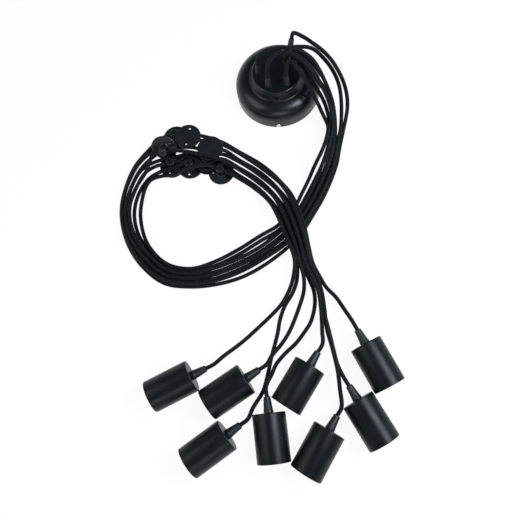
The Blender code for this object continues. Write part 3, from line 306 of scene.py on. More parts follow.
@dataclass(frozen=True)
class Braid(Finish):
    """A braided textile sleeve. The UV map runs once round the cord in U and along it in pairs of yarns in V.

    Two families of yarns cross at a slant, each yarn a rounded ridge: the height is the larger of
    |sin 2 pi (12 u + v)| and |sin 2 pi (12 u - v)|, with a little fuzz added. The colour follows the same
    height without the fuzz: the darker second colour down in the grooves is painted shade in the weave.
    """

    yarn_pairs_round: float = 12.0
    yarn_depth_mm: float = 0.16
    fuzz: float = 0.35
    sheen: float = 0.04
    sheen_roughness: float = 0.4

    def build(self, tree: bpy.types.NodeTree) -> None:
        """Builds the crossing yarns from the UV map.

        Args:
            tree: The material's node tree.
        """
        shader = tree.nodes["Principled BSDF"]
        places = node(tree, "ShaderNodeTexCoord").outputs
        split = node(tree, "ShaderNodeSeparateXYZ", i0=places[Space.UV.value]).outputs
        around = node(tree, "ShaderNodeMath", {"operation": "MULTIPLY"}, i0=split["X"],
                      i1=self.yarn_pairs_round)
        ridges = []
        for side in (1.0, -1.0):
            slant = node(tree, "ShaderNodeMath", {"operation": "MULTIPLY_ADD"}, i0=split["Y"], i1=side,
                         i2=around)
            turn = node(tree, "ShaderNodeMath", {"operation": "MULTIPLY"}, i0=slant, i1=2 * math.pi)
            wave = node(tree, "ShaderNodeMath", {"operation": "SINE"}, i0=turn)
            ridges.append(node(tree, "ShaderNodeMath", {"operation": "ABSOLUTE"}, i0=wave))
        height = node(tree, "ShaderNodeMath", {"operation": "MAXIMUM"}, i0=ridges[0], i1=ridges[1])
        fuzz = node(tree, "ShaderNodeTexNoise", Vector=places[Space.OBJECT.value], Scale=1000 / self.grain_mm,
                    Detail=2.0)
        rough_height = node(tree, "ShaderNodeMath", {"operation": "MULTIPLY_ADD"}, i0=fuzz.outputs["Fac"],
                            i1=self.fuzz, i2=height)
        # The colour darkens with the height down into the grooves between yarns: painted shade in the weave's
        # recesses.
        colour = node(tree, "ShaderNodeMix", {"data_type": "RGBA"}, Factor=height,
                      i6=linear(self.other_colour), i7=linear(self.colour))
        bump = node(tree, "ShaderNodeBump", Height=rough_height, Strength=0.8,
                    Distance=self.yarn_depth_mm / 1000)
        tree.links.new(colour.outputs[2], shader.inputs["Base Color"])
        tree.links.new(bump.outputs["Normal"], shader.inputs["Normal"])
        shader.inputs["Roughness"].default_value = self.roughness
        shader.inputs["IOR"].default_value = self.ior
        shader.inputs["Sheen Weight"].default_value = self.sheen
        shader.inputs["Sheen Roughness"].default_value = self.sheen_roughness


# Spun steel under a gloss black lacquer: deep black, with soft blue-grey reflections
CANOPY_LACQUER = Finish("gloss_black_lacquer_on_steel", "#080d0f", "#0c1214", roughness=0.29,
                        roughness_spread=0.03, ior=1.40, grain_mm=1.4, grain_depth_mm=0.004)
# Drawn steel cups with a satin black baked paint: one broad soft highlight along each cup
CUP_PAINT = Finish("satin_black_baked_paint", "#070b0d", "#0b1012", roughness=0.36, roughness_spread=0.04,
                   ior=1.29, grain_mm=0.5, grain_depth_mm=0.006)
# Satin black paint over the hooks' turned metal: a grey sheen on the discs
HOOK_PAINT = Finish("satin_black_paint_on_hooks", "#0a0f12", "#0f1518", roughness=0.34, grain_mm=0.5,
                    grain_depth_mm=0.006)
# Black nylon from a spark-eroded mould: a dull even grey-black
NYLON = Finish("moulded_black_nylon", "#0a0d0f", "#0f1315", roughness=0.50, grain_mm=0.6, grain_depth_mm=0.02)
# Black polyester yarn braided over the cable, 24 yarns each way: dull black with a fine crossed weave; the
# darker second colour is painted shade down in the grooves between yarns
TEXTILE = Braid("braided_black_polyester", "#0b0e10", "#040506", roughness=0.62, ior=1.25, grain_mm=0.25)
# Phenolic moulding of the lampholders: smooth and slightly glossy
PHENOLIC = Finish("moulded_black_phenolic", "#121213", "#18181a", roughness=0.38, grain_mm=0.8,
                  grain_depth_mm=0.008)
# Nickel plate over brass, buffed: bright, with soft-edged mirror images
NICKEL = Finish("bright_nickel_plate", "#eeece6", "#e0ded8", roughness=0.14, metallic=1.0, grain_mm=0.3,
                grain_depth_mm=0.002)
# Steel clamp screws with a black oxide skin: dark, with a dull metal edge
BLACK_OXIDE = Finish("black_oxide_on_steel", "#2b2c2d", "#232425", roughness=0.40, metallic=1.0, grain_mm=0.3,
                     grain_depth_mm=0.003)
# Zinc plate on pressed steel strip: mid grey, with a cloudy gloss
ZINC = Finish("zinc_plated_steel", "#a9adb2", "#8f959c", roughness=0.36, roughness_spread=0.08, metallic=1.0,
              grain_mm=0.3, grain_depth_mm=0.006, cloud_mm=6.0)
# Plain brass of the contacts and the earth terminal: warm yellow, slightly dulled
BRASS = Finish("plain_brass", "#c9a45a", "#b08c45", roughness=0.28, roughness_spread=0.06, metallic=1.0,
               grain_mm=0.3, grain_depth_mm=0.003, cloud_mm=8.0)
# Rolled aluminium of the threaded shells: pale grey, half matt
ALUMINIUM = Finish("rolled_aluminium", "#c4c6c8", "#aeb1b4", roughness=0.32, roughness_spread=0.06,
                   metallic=1.0, grain_mm=0.4, grain_depth_mm=0.004, cloud_mm=8.0)
# Natural polyamide of the terminal block: a milky off-white
POLYAMIDE = Finish("natural_polyamide", "#e4e2d8", "#dad7ca", roughness=0.45, grain_mm=0.8,
                   grain_depth_mm=0.01)
# PVC insulation of the inner leads, extruded: plain colours with a soft gloss
BROWN_PVC = Finish("brown_pvc_insulation", "#5a3322", "#4a281a", roughness=0.42, grain_mm=0.5,
                   grain_depth_mm=0.01)
BLUE_PVC = Finish("blue_pvc_insulation", "#2c4f96", "#244383", roughness=0.42, grain_mm=0.5,
                  grain_depth_mm=0.01)


# Surfaces


def publish(name: str, surface: Surface, finish: Finish, body: str,
            uv: Array | None = None, smooth: bool = True) -> bpy.types.Object:
    """Puts a surface into the scene as a piece that rides on a body.

    Args:
        name: The piece's name.
        surface: Its points, one row each, and its faces, four corners each; a triangle repeats its last.
        finish: What it is made of.
        body: The CAD body that carries it.
        uv: A UV pair for each face corner, in the faces' order.
        smooth: Whether it is shaded smooth.

    Returns:
        The new object.
    """
    points, faces = surface
    mesh = bpy.data.meshes.new(name)
    triangle = faces[:, 2] == faces[:, 3]
    totals = np.where(triangle, 3, 4).astype(np.int32)
    keep = np.ones(faces.shape, bool)
    keep[triangle, 3] = False
    corners = faces[keep].astype(np.int32)
    mesh.vertices.add(len(points))
    mesh.vertices.foreach_set("co", np.ascontiguousarray(points, np.float32).ravel())
    mesh.loops.add(len(corners))
    mesh.loops.foreach_set("vertex_index", corners)
    mesh.polygons.add(len(faces))
    mesh.polygons.foreach_set("loop_start", np.concatenate([[0], np.cumsum(totals)[:-1]]).astype(np.int32))
    mesh.polygons.foreach_set("loop_total", totals)
    mesh.polygons.foreach_set("use_smooth", np.full(len(faces), smooth))
    if uv is not None:
        layer = mesh.uv_layers.new(name="UVMap")
        layer.data.foreach_set("uv", np.ascontiguousarray(uv[keep], np.float32).ravel())
    mesh.update(calc_edges=True)
    mesh.validate()
    mesh.materials.append(finish.material())
    made = bpy.data.objects.new(name, mesh)
    bpy.context.scene.collection.objects.link(made)
    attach(made, body)
    return made


def join(parts: Sequence[Surface]) -> Surface:
    """Joins several surfaces into one.

    Args:
        parts: The surfaces.

    Returns:
        One set of points and faces.
    """
    counts = np.concatenate([[0], np.cumsum([len(points) for points, _ in parts])[:-1]])
    points = np.vstack([points for points, _ in parts])
    return points, np.vstack([faces + start for (_, faces), start in zip(parts, counts)])


def moved(surface: Surface, place: Matrix) -> Surface:
    """A surface carried by a matrix."""
    turn = np.array(place)
    return surface[0] @ turn[:3, :3].T + turn[:3, 3], surface[1]


def turned(profile: Sequence[tuple[float, float]], segments: int, closed: bool = False) -> Surface:
    """The surface swept when a profile turns about Z.

    At angle a each (r, h) of the profile gives x = r cos a, y = r sin a, z = h. A point on the axis becomes
    a pole. Faces point out when the profile runs with the solid on its left.

    Args:
        profile: (radius, height) pairs.
        segments: Steps round the axis.
        closed: Whether the last point joins the first.

    Returns:
        Points and faces.
    """
    rows = np.array(profile, float)
    angles = np.linspace(0, 2 * np.pi, segments, endpoint=False)
    ring = np.stack([np.cos(angles), np.sin(angles)], 1)
    points = np.concatenate([
        rows[:, None, 0, None] * ring[None],
        np.broadcast_to(rows[:, None, 1, None], (len(rows), segments, 1)),
    ], 2).reshape(-1, 3)
    index = np.arange(len(points)).reshape(len(rows), segments)
    low, high = (index, np.roll(index, -1, 0)) if closed else (index[:-1], index[1:])
    faces = np.stack([low, np.roll(low, -1, 1), np.roll(high, -1, 1), high], 2).reshape(-1, 4)
    pole = np.isclose(points[:, :2], 0).all(1)
    first = np.arange(len(points))
    first[pole] = (first[pole] // segments) * segments
    faces = first[faces]
    flat_top = faces[:, 2] == faces[:, 3]
    flat_low = faces[:, 0] == faces[:, 1]
    faces = np.where(flat_low[:, None], faces[:, [1, 2, 3, 3]], faces)
    faces = faces[~(flat_top & flat_low)]
    used, packed = np.unique(faces, return_inverse=True)
    return points[used], packed.reshape(faces.shape)


def rounded(profile: Sequence[tuple[float, float, float]], steps: int = 5) -> list[tuple[float, float]]:
    """A profile with its corners rounded.

    Each corner becomes a quadratic curve between two points set back from it, half-way along at most.

    Args:
        profile: (radius, height, set-back) for each corner.
        steps: Points on each rounded corner.

    Returns:
        (radius, height) pairs.
    """
    corners = np.array([(r, h) for r, h, _ in profile])
    made: list[tuple[float, float]] = []
    for i, (_, _, back) in enumerate(profile):
        here = corners[i]
        if back <= 0 or i in (0, len(profile) - 1):
            made.append(tuple(here))
            continue
        before, after = corners[i - 1] - here, corners[i + 1] - here
        a = here + before / np.linalg.norm(before) * min(back, np.linalg.norm(before) * 0.5)
        b = here + after / np.linalg.norm(after) * min(back, np.linalg.norm(after) * 0.5)
        t = np.linspace(0, 1, steps)[:, None]
        curve = (1 - t) ** 2 * a + 2 * t * (1 - t) * here + t ** 2 * b
        made.extend(map(tuple, curve))
    return made


def rod(radius: float, low: float, high: float, segments: int = 32) -> Surface:
    """A closed round rod along Z between two heights."""
    return turned([(0, low), (radius, low), (radius, high), (0, high)], segments)


def normals_along(line: Array) -> tuple[Array, Array]:
    """Two unit normals along a line, turned as little as they can be from point to point.

    Args:
        line: Points of the line.

    Returns:
        First normals and second normals.
    """
    way = np.gradient(line, axis=0)
    way /= np.linalg.norm(way, axis=1)[:, None]
    side = np.empty_like(way)
    start = np.array([0.0, 0.0, 1.0]) if abs(way[0, 2]) < 0.9 else np.array([1.0, 0.0, 0.0])
    side[0] = start - way[0] * (start @ way[0])
    side[0] /= np.linalg.norm(side[0])
    for i in range(1, len(way)):
        kept = side[i - 1] - way[i] * (side[i - 1] @ way[i])
        side[i] = kept / np.linalg.norm(kept)
    return side, np.cross(way, side)


def tube(line: Array, radius: float, sides: int) -> tuple[Array, Array, Array]:
    """A tube: each point is line(v) + r (n1 cos u + n2 sin u), closed round u, with a flat disc at both ends.

    Args:
        line: The middle line.
        radius: Its radius.
        sides: Steps round the tube.

    Returns:
        Points, faces, and the UV of each face corner: turns round the tube and distance along it in metres.
    """
    first, second = normals_along(line)
    angles = np.linspace(0, 2 * np.pi, sides, endpoint=False)
    spokes = np.cos(angles)[None, :, None] * first[:, None] + np.sin(angles)[None, :, None] * second[:, None]
    points = (line[:, None] + radius * spokes).reshape(-1, 3)
    index = np.arange(len(points)).reshape(len(line), sides)
    low, high = index[:-1], index[1:]
    faces = np.stack([low, np.roll(low, -1, 1), np.roll(high, -1, 1), high], 2)
    along = np.concatenate([[0], np.cumsum(np.linalg.norm(np.diff(line, axis=0), axis=1))])
    u = np.arange(sides) / sides
    step = 1 / sides
    uv = np.empty((*faces.shape, 2))
    uv[..., 0] = u[None, :, None] + np.array([0, step, step, 0])
    uv[..., 1] = np.stack([along[:-1], along[:-1], along[1:], along[1:]], 1)[:, None, :]
    points = np.vstack([points, line[:1], line[-1:]])
    hub = len(points) - 2
    near, far = index[0], index[-1]
    caps = np.vstack([
        np.stack([np.full(sides, hub), np.roll(near, -1), near, near], 1),
        np.stack([np.full(sides, hub + 1), far, np.roll(far, -1), np.roll(far, -1)], 1),
    ])
    faces = np.vstack([faces.reshape(-1, 4), caps])
    uv = np.vstack([uv.reshape(-1, 4, 2), np.zeros((len(caps), 4, 2))])
    return points, faces, uv


def curve_through(points: Array, step: float) -> tuple[Array, Array]:
    """A smooth curve through chosen points: cubic runs whose knots lie the root of the chord apart.

    Args:
        points: The chosen points.
        step: Distance between the points read from the curve.

    Returns:
        Points at an even step and each one's place among the chosen points.
    """
    ends = np.vstack([2 * points[0] - points[1], points, 2 * points[-1] - points[-2]])
    share = np.linspace(0, 1, 24, endpoint=False)
    runs, places = [], []
    for i in range(1, len(ends) - 2):
        p = ends[i - 1:i + 3]
        knots = np.concatenate([[0], np.cumsum(np.linalg.norm(np.diff(p, axis=0), axis=1) ** 0.5)])
        t = (knots[1] + (knots[2] - knots[1]) * share)[:, None]
        first = [((knots[j + 1] - t) * p[j] + (t - knots[j]) * p[j + 1]) / (knots[j + 1] - knots[j])
                 for j in range(3)]
        second = [((knots[j + 2] - t) * first[j] + (t - knots[j]) * first[j + 1]) / (knots[j + 2] - knots[j])
                  for j in range(2)]
        runs.append(((knots[2] - t) * second[0] + (t - knots[1]) * second[1]) / (knots[2] - knots[1]))
        places.append(i - 1 + share)
    runs.append(points[-1:])
    places.append([len(points) - 1])
    curve, place = np.vstack(runs), np.concatenate(places)
    along = np.concatenate([[0], np.cumsum(np.linalg.norm(np.diff(curve, axis=0), axis=1))])
    even = np.linspace(0, along[-1], round(along[-1] / step) + 1)
    return np.stack([np.interp(even, along, curve[:, i]) for i in range(3)], 1), np.interp(even, along, place)


def slab(low: Sequence[float], high: Sequence[float]) -> Surface:
    """A box between two corners.

    Args:
        low: Its lowest corner.
        high: Its highest corner.

    Returns:
        Points and faces.
    """
    (x0, y0, z0), (x1, y1, z1) = low, high
    points = np.array([(x, y, z) for z in (z0, z1) for y in (y0, y1) for x in (x0, x1)])
    faces = np.array([(0, 2, 3, 1), (4, 5, 7, 6), (0, 1, 5, 4), (2, 6, 7, 3), (0, 4, 6, 2), (1, 3, 7, 5)])
    return points, faces


def cut_with(piece: bpy.types.Object, cutter: bpy.types.Object) -> None:
    """Cuts a cutter's solid from a piece and removes the cutter, leaving plain mesh.

    Args:
        piece: The piece that is cut.
        cutter: The solid that is taken away.
    """
    modifier = piece.modifiers.new("cut", "BOOLEAN")
    modifier.operation, modifier.solver, modifier.object = "DIFFERENCE", "EXACT", cutter
    graph = bpy.context.evaluated_depsgraph_get()
    made = bpy.data.meshes.new_from_object(piece.evaluated_get(graph))
    piece.modifiers.clear()
    old = piece.data
    piece.data = made
    made.name = old.name
    bpy.data.meshes.remove(old)
    bpy.data.objects.remove(cutter, do_unlink=True)
    sharp_by_angle(piece, degrees=32.0)


def sharp_by_angle(piece: bpy.types.Object, degrees: float) -> None:
    """Marks the edges sharper than an angle, so that smooth shading stops there.

    Args:
        piece: The piece that is marked.
        degrees: The angle.
    """
    bm = bmesh.new()
    bm.from_mesh(piece.data)
    limit = math.radians(degrees)
    for edge in bm.edges:
        edge.smooth = len(edge.link_faces) == 2 and edge.calc_face_angle(math.pi) < limit
    for face in bm.faces:
        face.smooth = True
    bm.to_mesh(piece.data)
    bm.free()


def redress(name: str, finish: Finish) -> None:
    """Gives a CAD node that stays in view the finish of the real thing.

    Args:
        name: The node's name.
        finish: What it is made of.
    """
    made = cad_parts[name]
    for slot in made.material_slots:
        slot.material = finish.material()


# Places


def canopy_grip_place(number: int) -> Matrix:
    """The frame of a canopy grip, with its origin on the canopy's top and Z along the grip.

    Args:
        number: The cord's number.

    Returns:
        Its matrix.
    """
    x, y = CANOPY_GRIP_PLACES[number]
    place = Matrix.Translation((x, y, Canopy.top_z))
    if number == LEANING_GRIP:
        toward = math.radians(LEAN_HEADING)
        axis = Vector((-math.sin(toward), math.cos(toward), 0))
        place = place @ Matrix.Rotation(math.radians(LEAN), 4, axis) @ Matrix.Translation((0, 0, LEAN_LIFT))
    return place


def socket_place(number: int) -> Matrix:
    """The frame of a lampholder, with its origin in the cover's mouth and Z to the closed end.

    Args:
        number: The cord's number.

    Returns:
        Its matrix.
    """
    x, y, heading = CUP_PLACES[number]
    turn = Matrix.Rotation(math.radians(heading), 4, "Z") @ Matrix.Rotation(math.pi / 2, 4, "Y")
    return Matrix.Translation((x, y, Lampholder.cover_radius)) @ turn


# Cords


@dataclass
class Cords:
    """The eight cords, with the same chosen points and the same laying as the part's source."""

    radius: float = 0.0029
    # The middles of two cords stay this far apart where one lies on the other
    lay: float = 0.0070
    step: float = 0.0030
    # At a lampholder a cord runs straight for the first length and comes down over the second
    end_straight: float = 0.0060
    end_drop: float = 0.058
    # From hanging off the canopy it comes to lie over this length
    hang_blend: float = 0.060
    # Rounds of laying, half the window of the heights' mean in steps, and the points of ROUTE_DOWN that lie
    sweeps: int = 5
    window: int = 7
    settled_down: int = 2
    # In line with the lampholder at these distances from its grip, and so far into a grip's mouth
    tail_reach: tuple[float, ...] = (0.011, 0.0)
    in_mouth: float = 0.0008
    # The hooks lie behind this Y; a cord is straight by its hook's middle, then blends back into its line
    heap_edge_y: float = -0.16
    hook_straight: float = 0.0075
    hook_blend: float = 0.014
    drawn_step: float = 0.0020
    # Two yarns of 1.5 mm each along the cord: the real ones, of about 1 mm, are too fine to show here
    yarn_pair: float = 0.0030
    lines: dict[int, Array] = field(default_factory=dict)

    def lane_points(self, rows: Sequence, lane: int) -> list[tuple]:
        """This lane's point in each row of the bundle, from the row's inner edge, outer edge and shares.

        Args:
            rows: The rows of the bundle.
            lane: The lane's number, from the outer edge.

        Returns:
            A point on the table for each row.
        """
        found = []
        for inner, outer, shares in rows:
            share = shares[len(shares) - lane]
            found.append(tuple(a + (b - a) * share for a, b in zip(inner, outer)) + (0,))
        return found

    def route(self, number: int) -> tuple[Array, Array]:
        """The chosen points of one cord and the stage of each.

        Args:
            number: The cord.

        Returns:
            The points, and the stage that each belongs to.
        """
        start = canopy_grip_place(number) @ Vector((0, 0, Canopy.grip_height + GAP))
        socket = socket_place(number)
        reach = Lampholder.cover_length + Lampholder.grip_length + 2 * GAP
        tail = [tuple(socket @ Vector((0, 0, reach + more))) for more in self.tail_reach]
        lane = CORD_LANE[number]
        stages = (
            [tuple(start), *ROUTE_RISE[number], *ROUTE_DOWN[number][:-self.settled_down]],
            [*ROUTE_DOWN[number][-self.settled_down:], *self.lane_points(BAND, lane)],
            list(ROUTE_HOOKS[number]),
            [*self.lane_points(CROSSING, lane), *[(x, y, 0) for x, y in ROUTE_OUT[number]], *tail],
        )
        points = [point for stage in stages for point in stage]
        return np.array(points, float), np.concatenate([[i] * len(stage) for i, stage in enumerate(stages)])

    def settle(self) -> None:
        """Lays the cords in order; each rises in a long low hump where it lies over one laid before it."""
        stages, least, hanging = {}, {}, {}
        for number in CORD_LAYING_ORDER:
            points, stage = self.route(number)
            line, place = curve_through(points, self.step)
            line[:, 2] = np.maximum(line[:, 2], self.radius)
            left = self.step * np.arange(len(line))[::-1]
            fall = np.clip((left - self.end_straight) / self.end_drop, 0, 1)
            height = self.radius + (Lampholder.cover_radius - self.radius) * (1 + np.cos(math.pi * fall)) / 2
            line[:, 2] = np.where(fall < 1, height, line[:, 2])
            down = np.argmax(place >= len(ROUTE_RISE[number]) + len(ROUTE_DOWN[number]))
            gone = self.step * (np.arange(len(line)) - down)
            hanging[number] = np.clip(1 + gone / self.hang_blend, 0, 1)
            stages[number] = stage[np.clip(np.round(place).astype(int), 0, len(stage) - 1)]
            self.lines[number], least[number] = line, line[:, 2].copy()
        weights = np.hanning(2 * self.window + 3)[1:-1]
        weights /= weights.sum()
        for _ in range(self.sweeps):
            for rank, number in enumerate(CORD_LAYING_ORDER):
                self.lines[number][:, 2] = self.settled_height(number, rank, stages, least, hanging, weights)

    def settled_height(self, number: int, rank: int, stages: dict, least: dict, hanging: dict,
                       weights: Array) -> Array:
        """The height of one cord over those below it: the highest need in a window, then its weighted mean.

        Args:
            number: The cord.
            rank: Its place in the laying order.
            stages: For each cord, the stage of its route that each point belongs to.
            least: For each cord, the least height of each point.
            hanging: For each cord, 0 where it hangs free and 1 where it lies.
            weights: The mean's weights over the window.

        Returns:
            The height of each point.
        """
        line = self.lines[number]
        raised = least[number].copy()
        for other_rank, other in enumerate(CORD_LAYING_ORDER):
            if other == number:
                continue
            below = self.lines[other]
            apart = ((line[:, None, :2] - below[None, :, :2]) ** 2).sum(-1)
            steps = stages[number][:, None] - stages[other][None, :]
            over = (steps >= 2) | ((np.abs(steps) < 2) & (other_rank < rank))
            touch = (apart < self.lay ** 2) & over
            top = below[None, :, 2] + np.sqrt(np.maximum(self.lay ** 2 - apart, 0))
            raised = np.maximum(raised, np.where(touch, top, 0).max(1))
        raised = np.where(stages[number] == 0, least[number], raised)
        half = self.window
        wide = np.pad(raised, half, mode="edge")
        highest = np.array([wide[i:i + 2 * half + 1].max() for i in range(len(raised))])
        laid = np.convolve(np.pad(highest, half, mode="edge"), weights, "valid")
        free = np.convolve(wide, weights, "valid")
        height = free * (1 - hanging[number]) + laid * hanging[number]
        count = self.step * np.arange(len(line))
        keep = (count < 2 * self.end_straight) | (count[::-1] < self.end_straight)
        height[keep] = least[number][keep]
        height[0] = least[number][0]
        return height

    def hook_frame(self, number: int) -> Matrix:
        """The frame of a cord's hook: origin in the base's middle, Z along the stem, X along the bore.

        Args:
            number: The cord.

        Returns:
            Its matrix.
        """
        line = self.lines[number]
        x, height, tilt, _ = HOOK_PLACES[number]
        index = np.argmin(np.where(line[:, 1] > self.heap_edge_y, np.abs(line[:, 0] - x), 1))
        along = Vector(line[index + 2] - line[index - 2])
        along.z = 0
        along.normalize()
        middle = Vector(line[index])
        middle.z = height
        up = Matrix.Rotation(math.radians(tilt), 3, along) @ Vector((0, 0, 1))
        turn = Matrix((along, up.cross(along), up)).transposed().to_4x4()
        origin = middle - up * (CordHook.base_sheet + CordHook.bore_height)
        return Matrix.Translation(origin) @ turn

    def through_hook(self, number: int) -> Array:
        """The cord's line, drawn onto the middle of its hook's bore and smoothed on both sides of it.

        Args:
            number: The cord.

        Returns:
            The line's points.
        """
        line = self.lines[number].copy()
        hook = self.hook_frame(number)
        middle = np.array(hook @ Vector((0, 0, CordHook.base_sheet + CordHook.bore_height)))
        way = np.array(hook.to_3x3() @ Vector((1, 0, 0)))
        index = np.argmin(np.linalg.norm(line - middle, axis=1))
        away = self.step * (np.arange(len(line)) - index)
        onto = middle + away[:, None] * way
        near = np.clip(1 - (np.abs(away) - self.hook_straight) / self.hook_blend, 0, 1)
        near = (near * near * (3 - 2 * near))[:, None]
        return line * (1 - near) + onto * near

    def into_grips(self, line: Array) -> Array:
        """The line with both ends carried straight on into the mouths of the grips that hold it.

        Args:
            line: The cord's line.

        Returns:
            The line with its new ends.
        """
        ends = []
        for end, inner in ((line[0], line[1]), (line[-1], line[-2])):
            way = (end - inner) / np.linalg.norm(end - inner)
            ends.append(end + way * self.in_mouth)
        return np.vstack([ends[:1], line[1:-1], ends[1:]])

    def build(self) -> None:
        """Makes the eight braided cords as mesh tubes with a yarn map, and hides the CAD cord each one stands
        for.
        """
        for number in sorted(CORD_LAYING_ORDER):
            line = self.into_grips(self.through_hook(number))
            every_other = line[::2] if len(line) % 2 else np.vstack([line[:-1:2], line[-1:]])
            line, _ = curve_through(every_other, self.drawn_step)
            points, faces, uv = tube(line, self.radius, sides=18)
            uv[..., 1] /= self.yarn_pair
            name = f"braided_cord_{number}"
            made = publish(name, (points, faces), TEXTILE, "canopy", uv)
            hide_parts(f"cord_{number}")


# Canopy


# name: the CAD body that carries the screw, and its turn about X from upright, in radians
SIDE_SCREWS = {
    "side_screw_front": ("screw_front", math.pi / 2),
    "side_screw_back": ("screw_back", -math.pi / 2),
}
# The middle of each bundle of inner leads, from under the grips into the terminal block
LEAD_ROUTES = {
    "inner_leads_live": (
        (0.018, 0.007, 0.0425), (0.0185, 0.0085, 0.037), (0.018, 0.012, 0.029), (0.0155, 0.016, 0.02),
        (0.0125, 0.0175, 0.012), (0.0105, 0.015, 0.008), (0.01, 0.0115, 0.0072), (0.01, 0.0084, 0.0072)),
    "inner_leads_neutral": (
        (0.008, 0.007, 0.0425), (0.007, 0.0085, 0.037), (0.002, 0.012, 0.029), (-0.005, 0.016, 0.02),
        (-0.009, 0.0175, 0.012), (-0.01, 0.015, 0.008), (-0.01, 0.0115, 0.0072), (-0.01, 0.0084, 0.0072)),
}


@dataclass
class Canopy:
    """The canopy's cover, its grips, side screws, bracket, terminals and inner leads."""

    radius: float = 0.066
    wall_height: float = 0.015
    shoulder_inner: float = 0.044
    shoulder_height: float = 0.0215
    sheet: float = 0.0012
    top_z: float = 0.0505
    grip_height: float = 0.0210
    grip_foot: float = 0.0036
    grip_hole: float = 0.0043
    screw_height: float = 0.0065
    screw_hole: float = 0.0024
    screw_inner_end: float = 0.057
    screw_radius: float = 0.0019
    ridge_depth: float = 0.00012
    ridge_count: int = 46
    head_radius: float = 0.0035
    head_edge: float = 0.0009
    head_dome: float = 0.0015
    lead_radius: float = 0.00045
    lead_swing: float = 0.0011

    def profile(self, inset: float) -> list[tuple[float, float]]:
        """The cover's profile, rim to middle: a wall, a quarter-ellipse shoulder, a cove and a small tier.

        Args:
            inset: How far inside the outer face it runs.

        Returns:
            (radius, height) pairs.
        """
        angles = np.linspace(0, math.pi / 2, 20)
        wide = self.radius - self.shoulder_inner
        across, up = wide * np.cos(angles), self.shoulder_height * np.sin(angles)
        normal = np.stack([np.cos(angles) * self.shoulder_height, np.sin(angles) * wide], 1)
        normal /= np.linalg.norm(normal, axis=1)[:, None]
        shoulder = np.stack([self.shoulder_inner + across, self.wall_height + up], 1) - inset * normal
        tier = rounded((
            (self.shoulder_inner, 0.0365 - inset, 0),
            (0.0425 - inset, 0.0374 - inset * 0.6, 0.0010),
            (0.0392 - inset, 0.0448, 0.0008),
            (0.0377 - inset, self.top_z - 0.0006 - inset, 0.0024),
            (0.0345, self.top_z - inset, 0.0014),
            (0.0, self.top_z - inset, 0),
        ), steps=7)
        return [(self.radius - inset, 0.0), *map(tuple, shoulder), *tier[1:]]

    def build(self) -> None:
        """Makes the cover and everything on and in it."""
        self.make_cover()
        self.make_grips()
        self.make_side_screws()
        for name, finish in (("ceiling_bracket", ZINC), ("terminal_block", POLYAMIDE),
                             ("earth_terminal", BRASS)):
            redress(name, finish)
            LOG.info("%s keeps its solid", name)
        self.make_leads()

    def side_screw_place(self, turn: float) -> Matrix:
        """The frame of a side screw, with Z from the canopy's middle out through its wall."""
        return Matrix.Translation((0, 0, self.screw_height)) @ Matrix.Rotation(turn, 4, "X")

    def make_cover(self) -> None:
        """The lacquered cover, a closed shell with its holes cut through the sheet."""
        profile = [*self.profile(0), *self.profile(self.sheet)[::-1]]
        surface = turned(profile, segments=160, closed=True)
        cover = publish("canopy_shell", surface, CANOPY_LACQUER, "canopy")
        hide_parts("canopy_cover")
        holes = [moved(rod(self.grip_hole, low=-0.007, high=0.002), canopy_grip_place(number))
                 for number in CANOPY_GRIP_PLACES]
        for _, turn in SIDE_SCREWS.values():
            holes.append(moved(rod(self.screw_hole, low=0.0628, high=0.068), self.side_screw_place(turn)))
        cut_with(cover, publish("canopy_cutter", join(holes), CANOPY_LACQUER, "canopy"))
        LOG.info("canopy shell: %d points", len(cover.data.vertices))

    def make_grips(self) -> None:
        """The eight tapered nylon grips, each with a stem through the sheet, a collar and a mouth."""
        foot, tip = self.grip_foot, self.grip_height
        profile = rounded((
            (0, -0.0066, 0), (0.0038, -0.0066, 0.0004), (0.0038, GAP, 0), (0.0054, GAP, 0.0003),
            (0.0054, foot, 0.0004), (0.0052, foot + 0.0005, 0.0002), (0.0039, tip - 0.0008, 0.0006),
            (0.0036, tip, 0.0003), (0.0030, tip, 0.0002), (0.0030, tip - 0.0006, 0), (0, tip - 0.0006, 0),
        ))
        for number in CANOPY_GRIP_PLACES:
            surface = moved(turned(profile, segments=48), canopy_grip_place(number))
            made = publish(f"canopy_grip_body_{number}", surface, NYLON, "canopy")
            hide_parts(f"canopy_grip_{number}")
        LOG.info("canopy grips: %d", len(CANOPY_GRIP_PLACES))

    def make_side_screws(self) -> None:
        """The two nickel screws: a domed head with a driver slot, and a finely ridged shank."""
        start = self.radius + GAP
        top = start + self.head_edge
        along = np.linspace(self.screw_inner_end, start, self.ridge_count)
        thread = self.screw_radius + self.ridge_depth * np.cos(np.arange(self.ridge_count) * math.pi)
        angles = np.linspace(0, math.pi / 2, 9)[:-1]
        dome = zip(self.head_radius * np.cos(angles), top + self.head_dome * np.sin(angles))
        profile = [(0, self.screw_inner_end), *zip(thread, along), (self.head_radius, start), *dome,
                   (0, top + self.head_dome)]
        slot = slab((-0.0040, -0.0004, start + 0.0014), (0.0040, 0.0004, start + 0.0040))
        for name, (body, turn) in SIDE_SCREWS.items():
            place = self.side_screw_place(turn)
            surface = moved(turned(profile, segments=40), place)
            made = publish(name + "_turned", surface, NICKEL, body)
            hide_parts(name)
            cut_with(made, publish(name + "_slot", moved(slot, place), NICKEL, body,
                                   smooth=False))
        LOG.info("side screws: %d", len(SIDE_SCREWS))

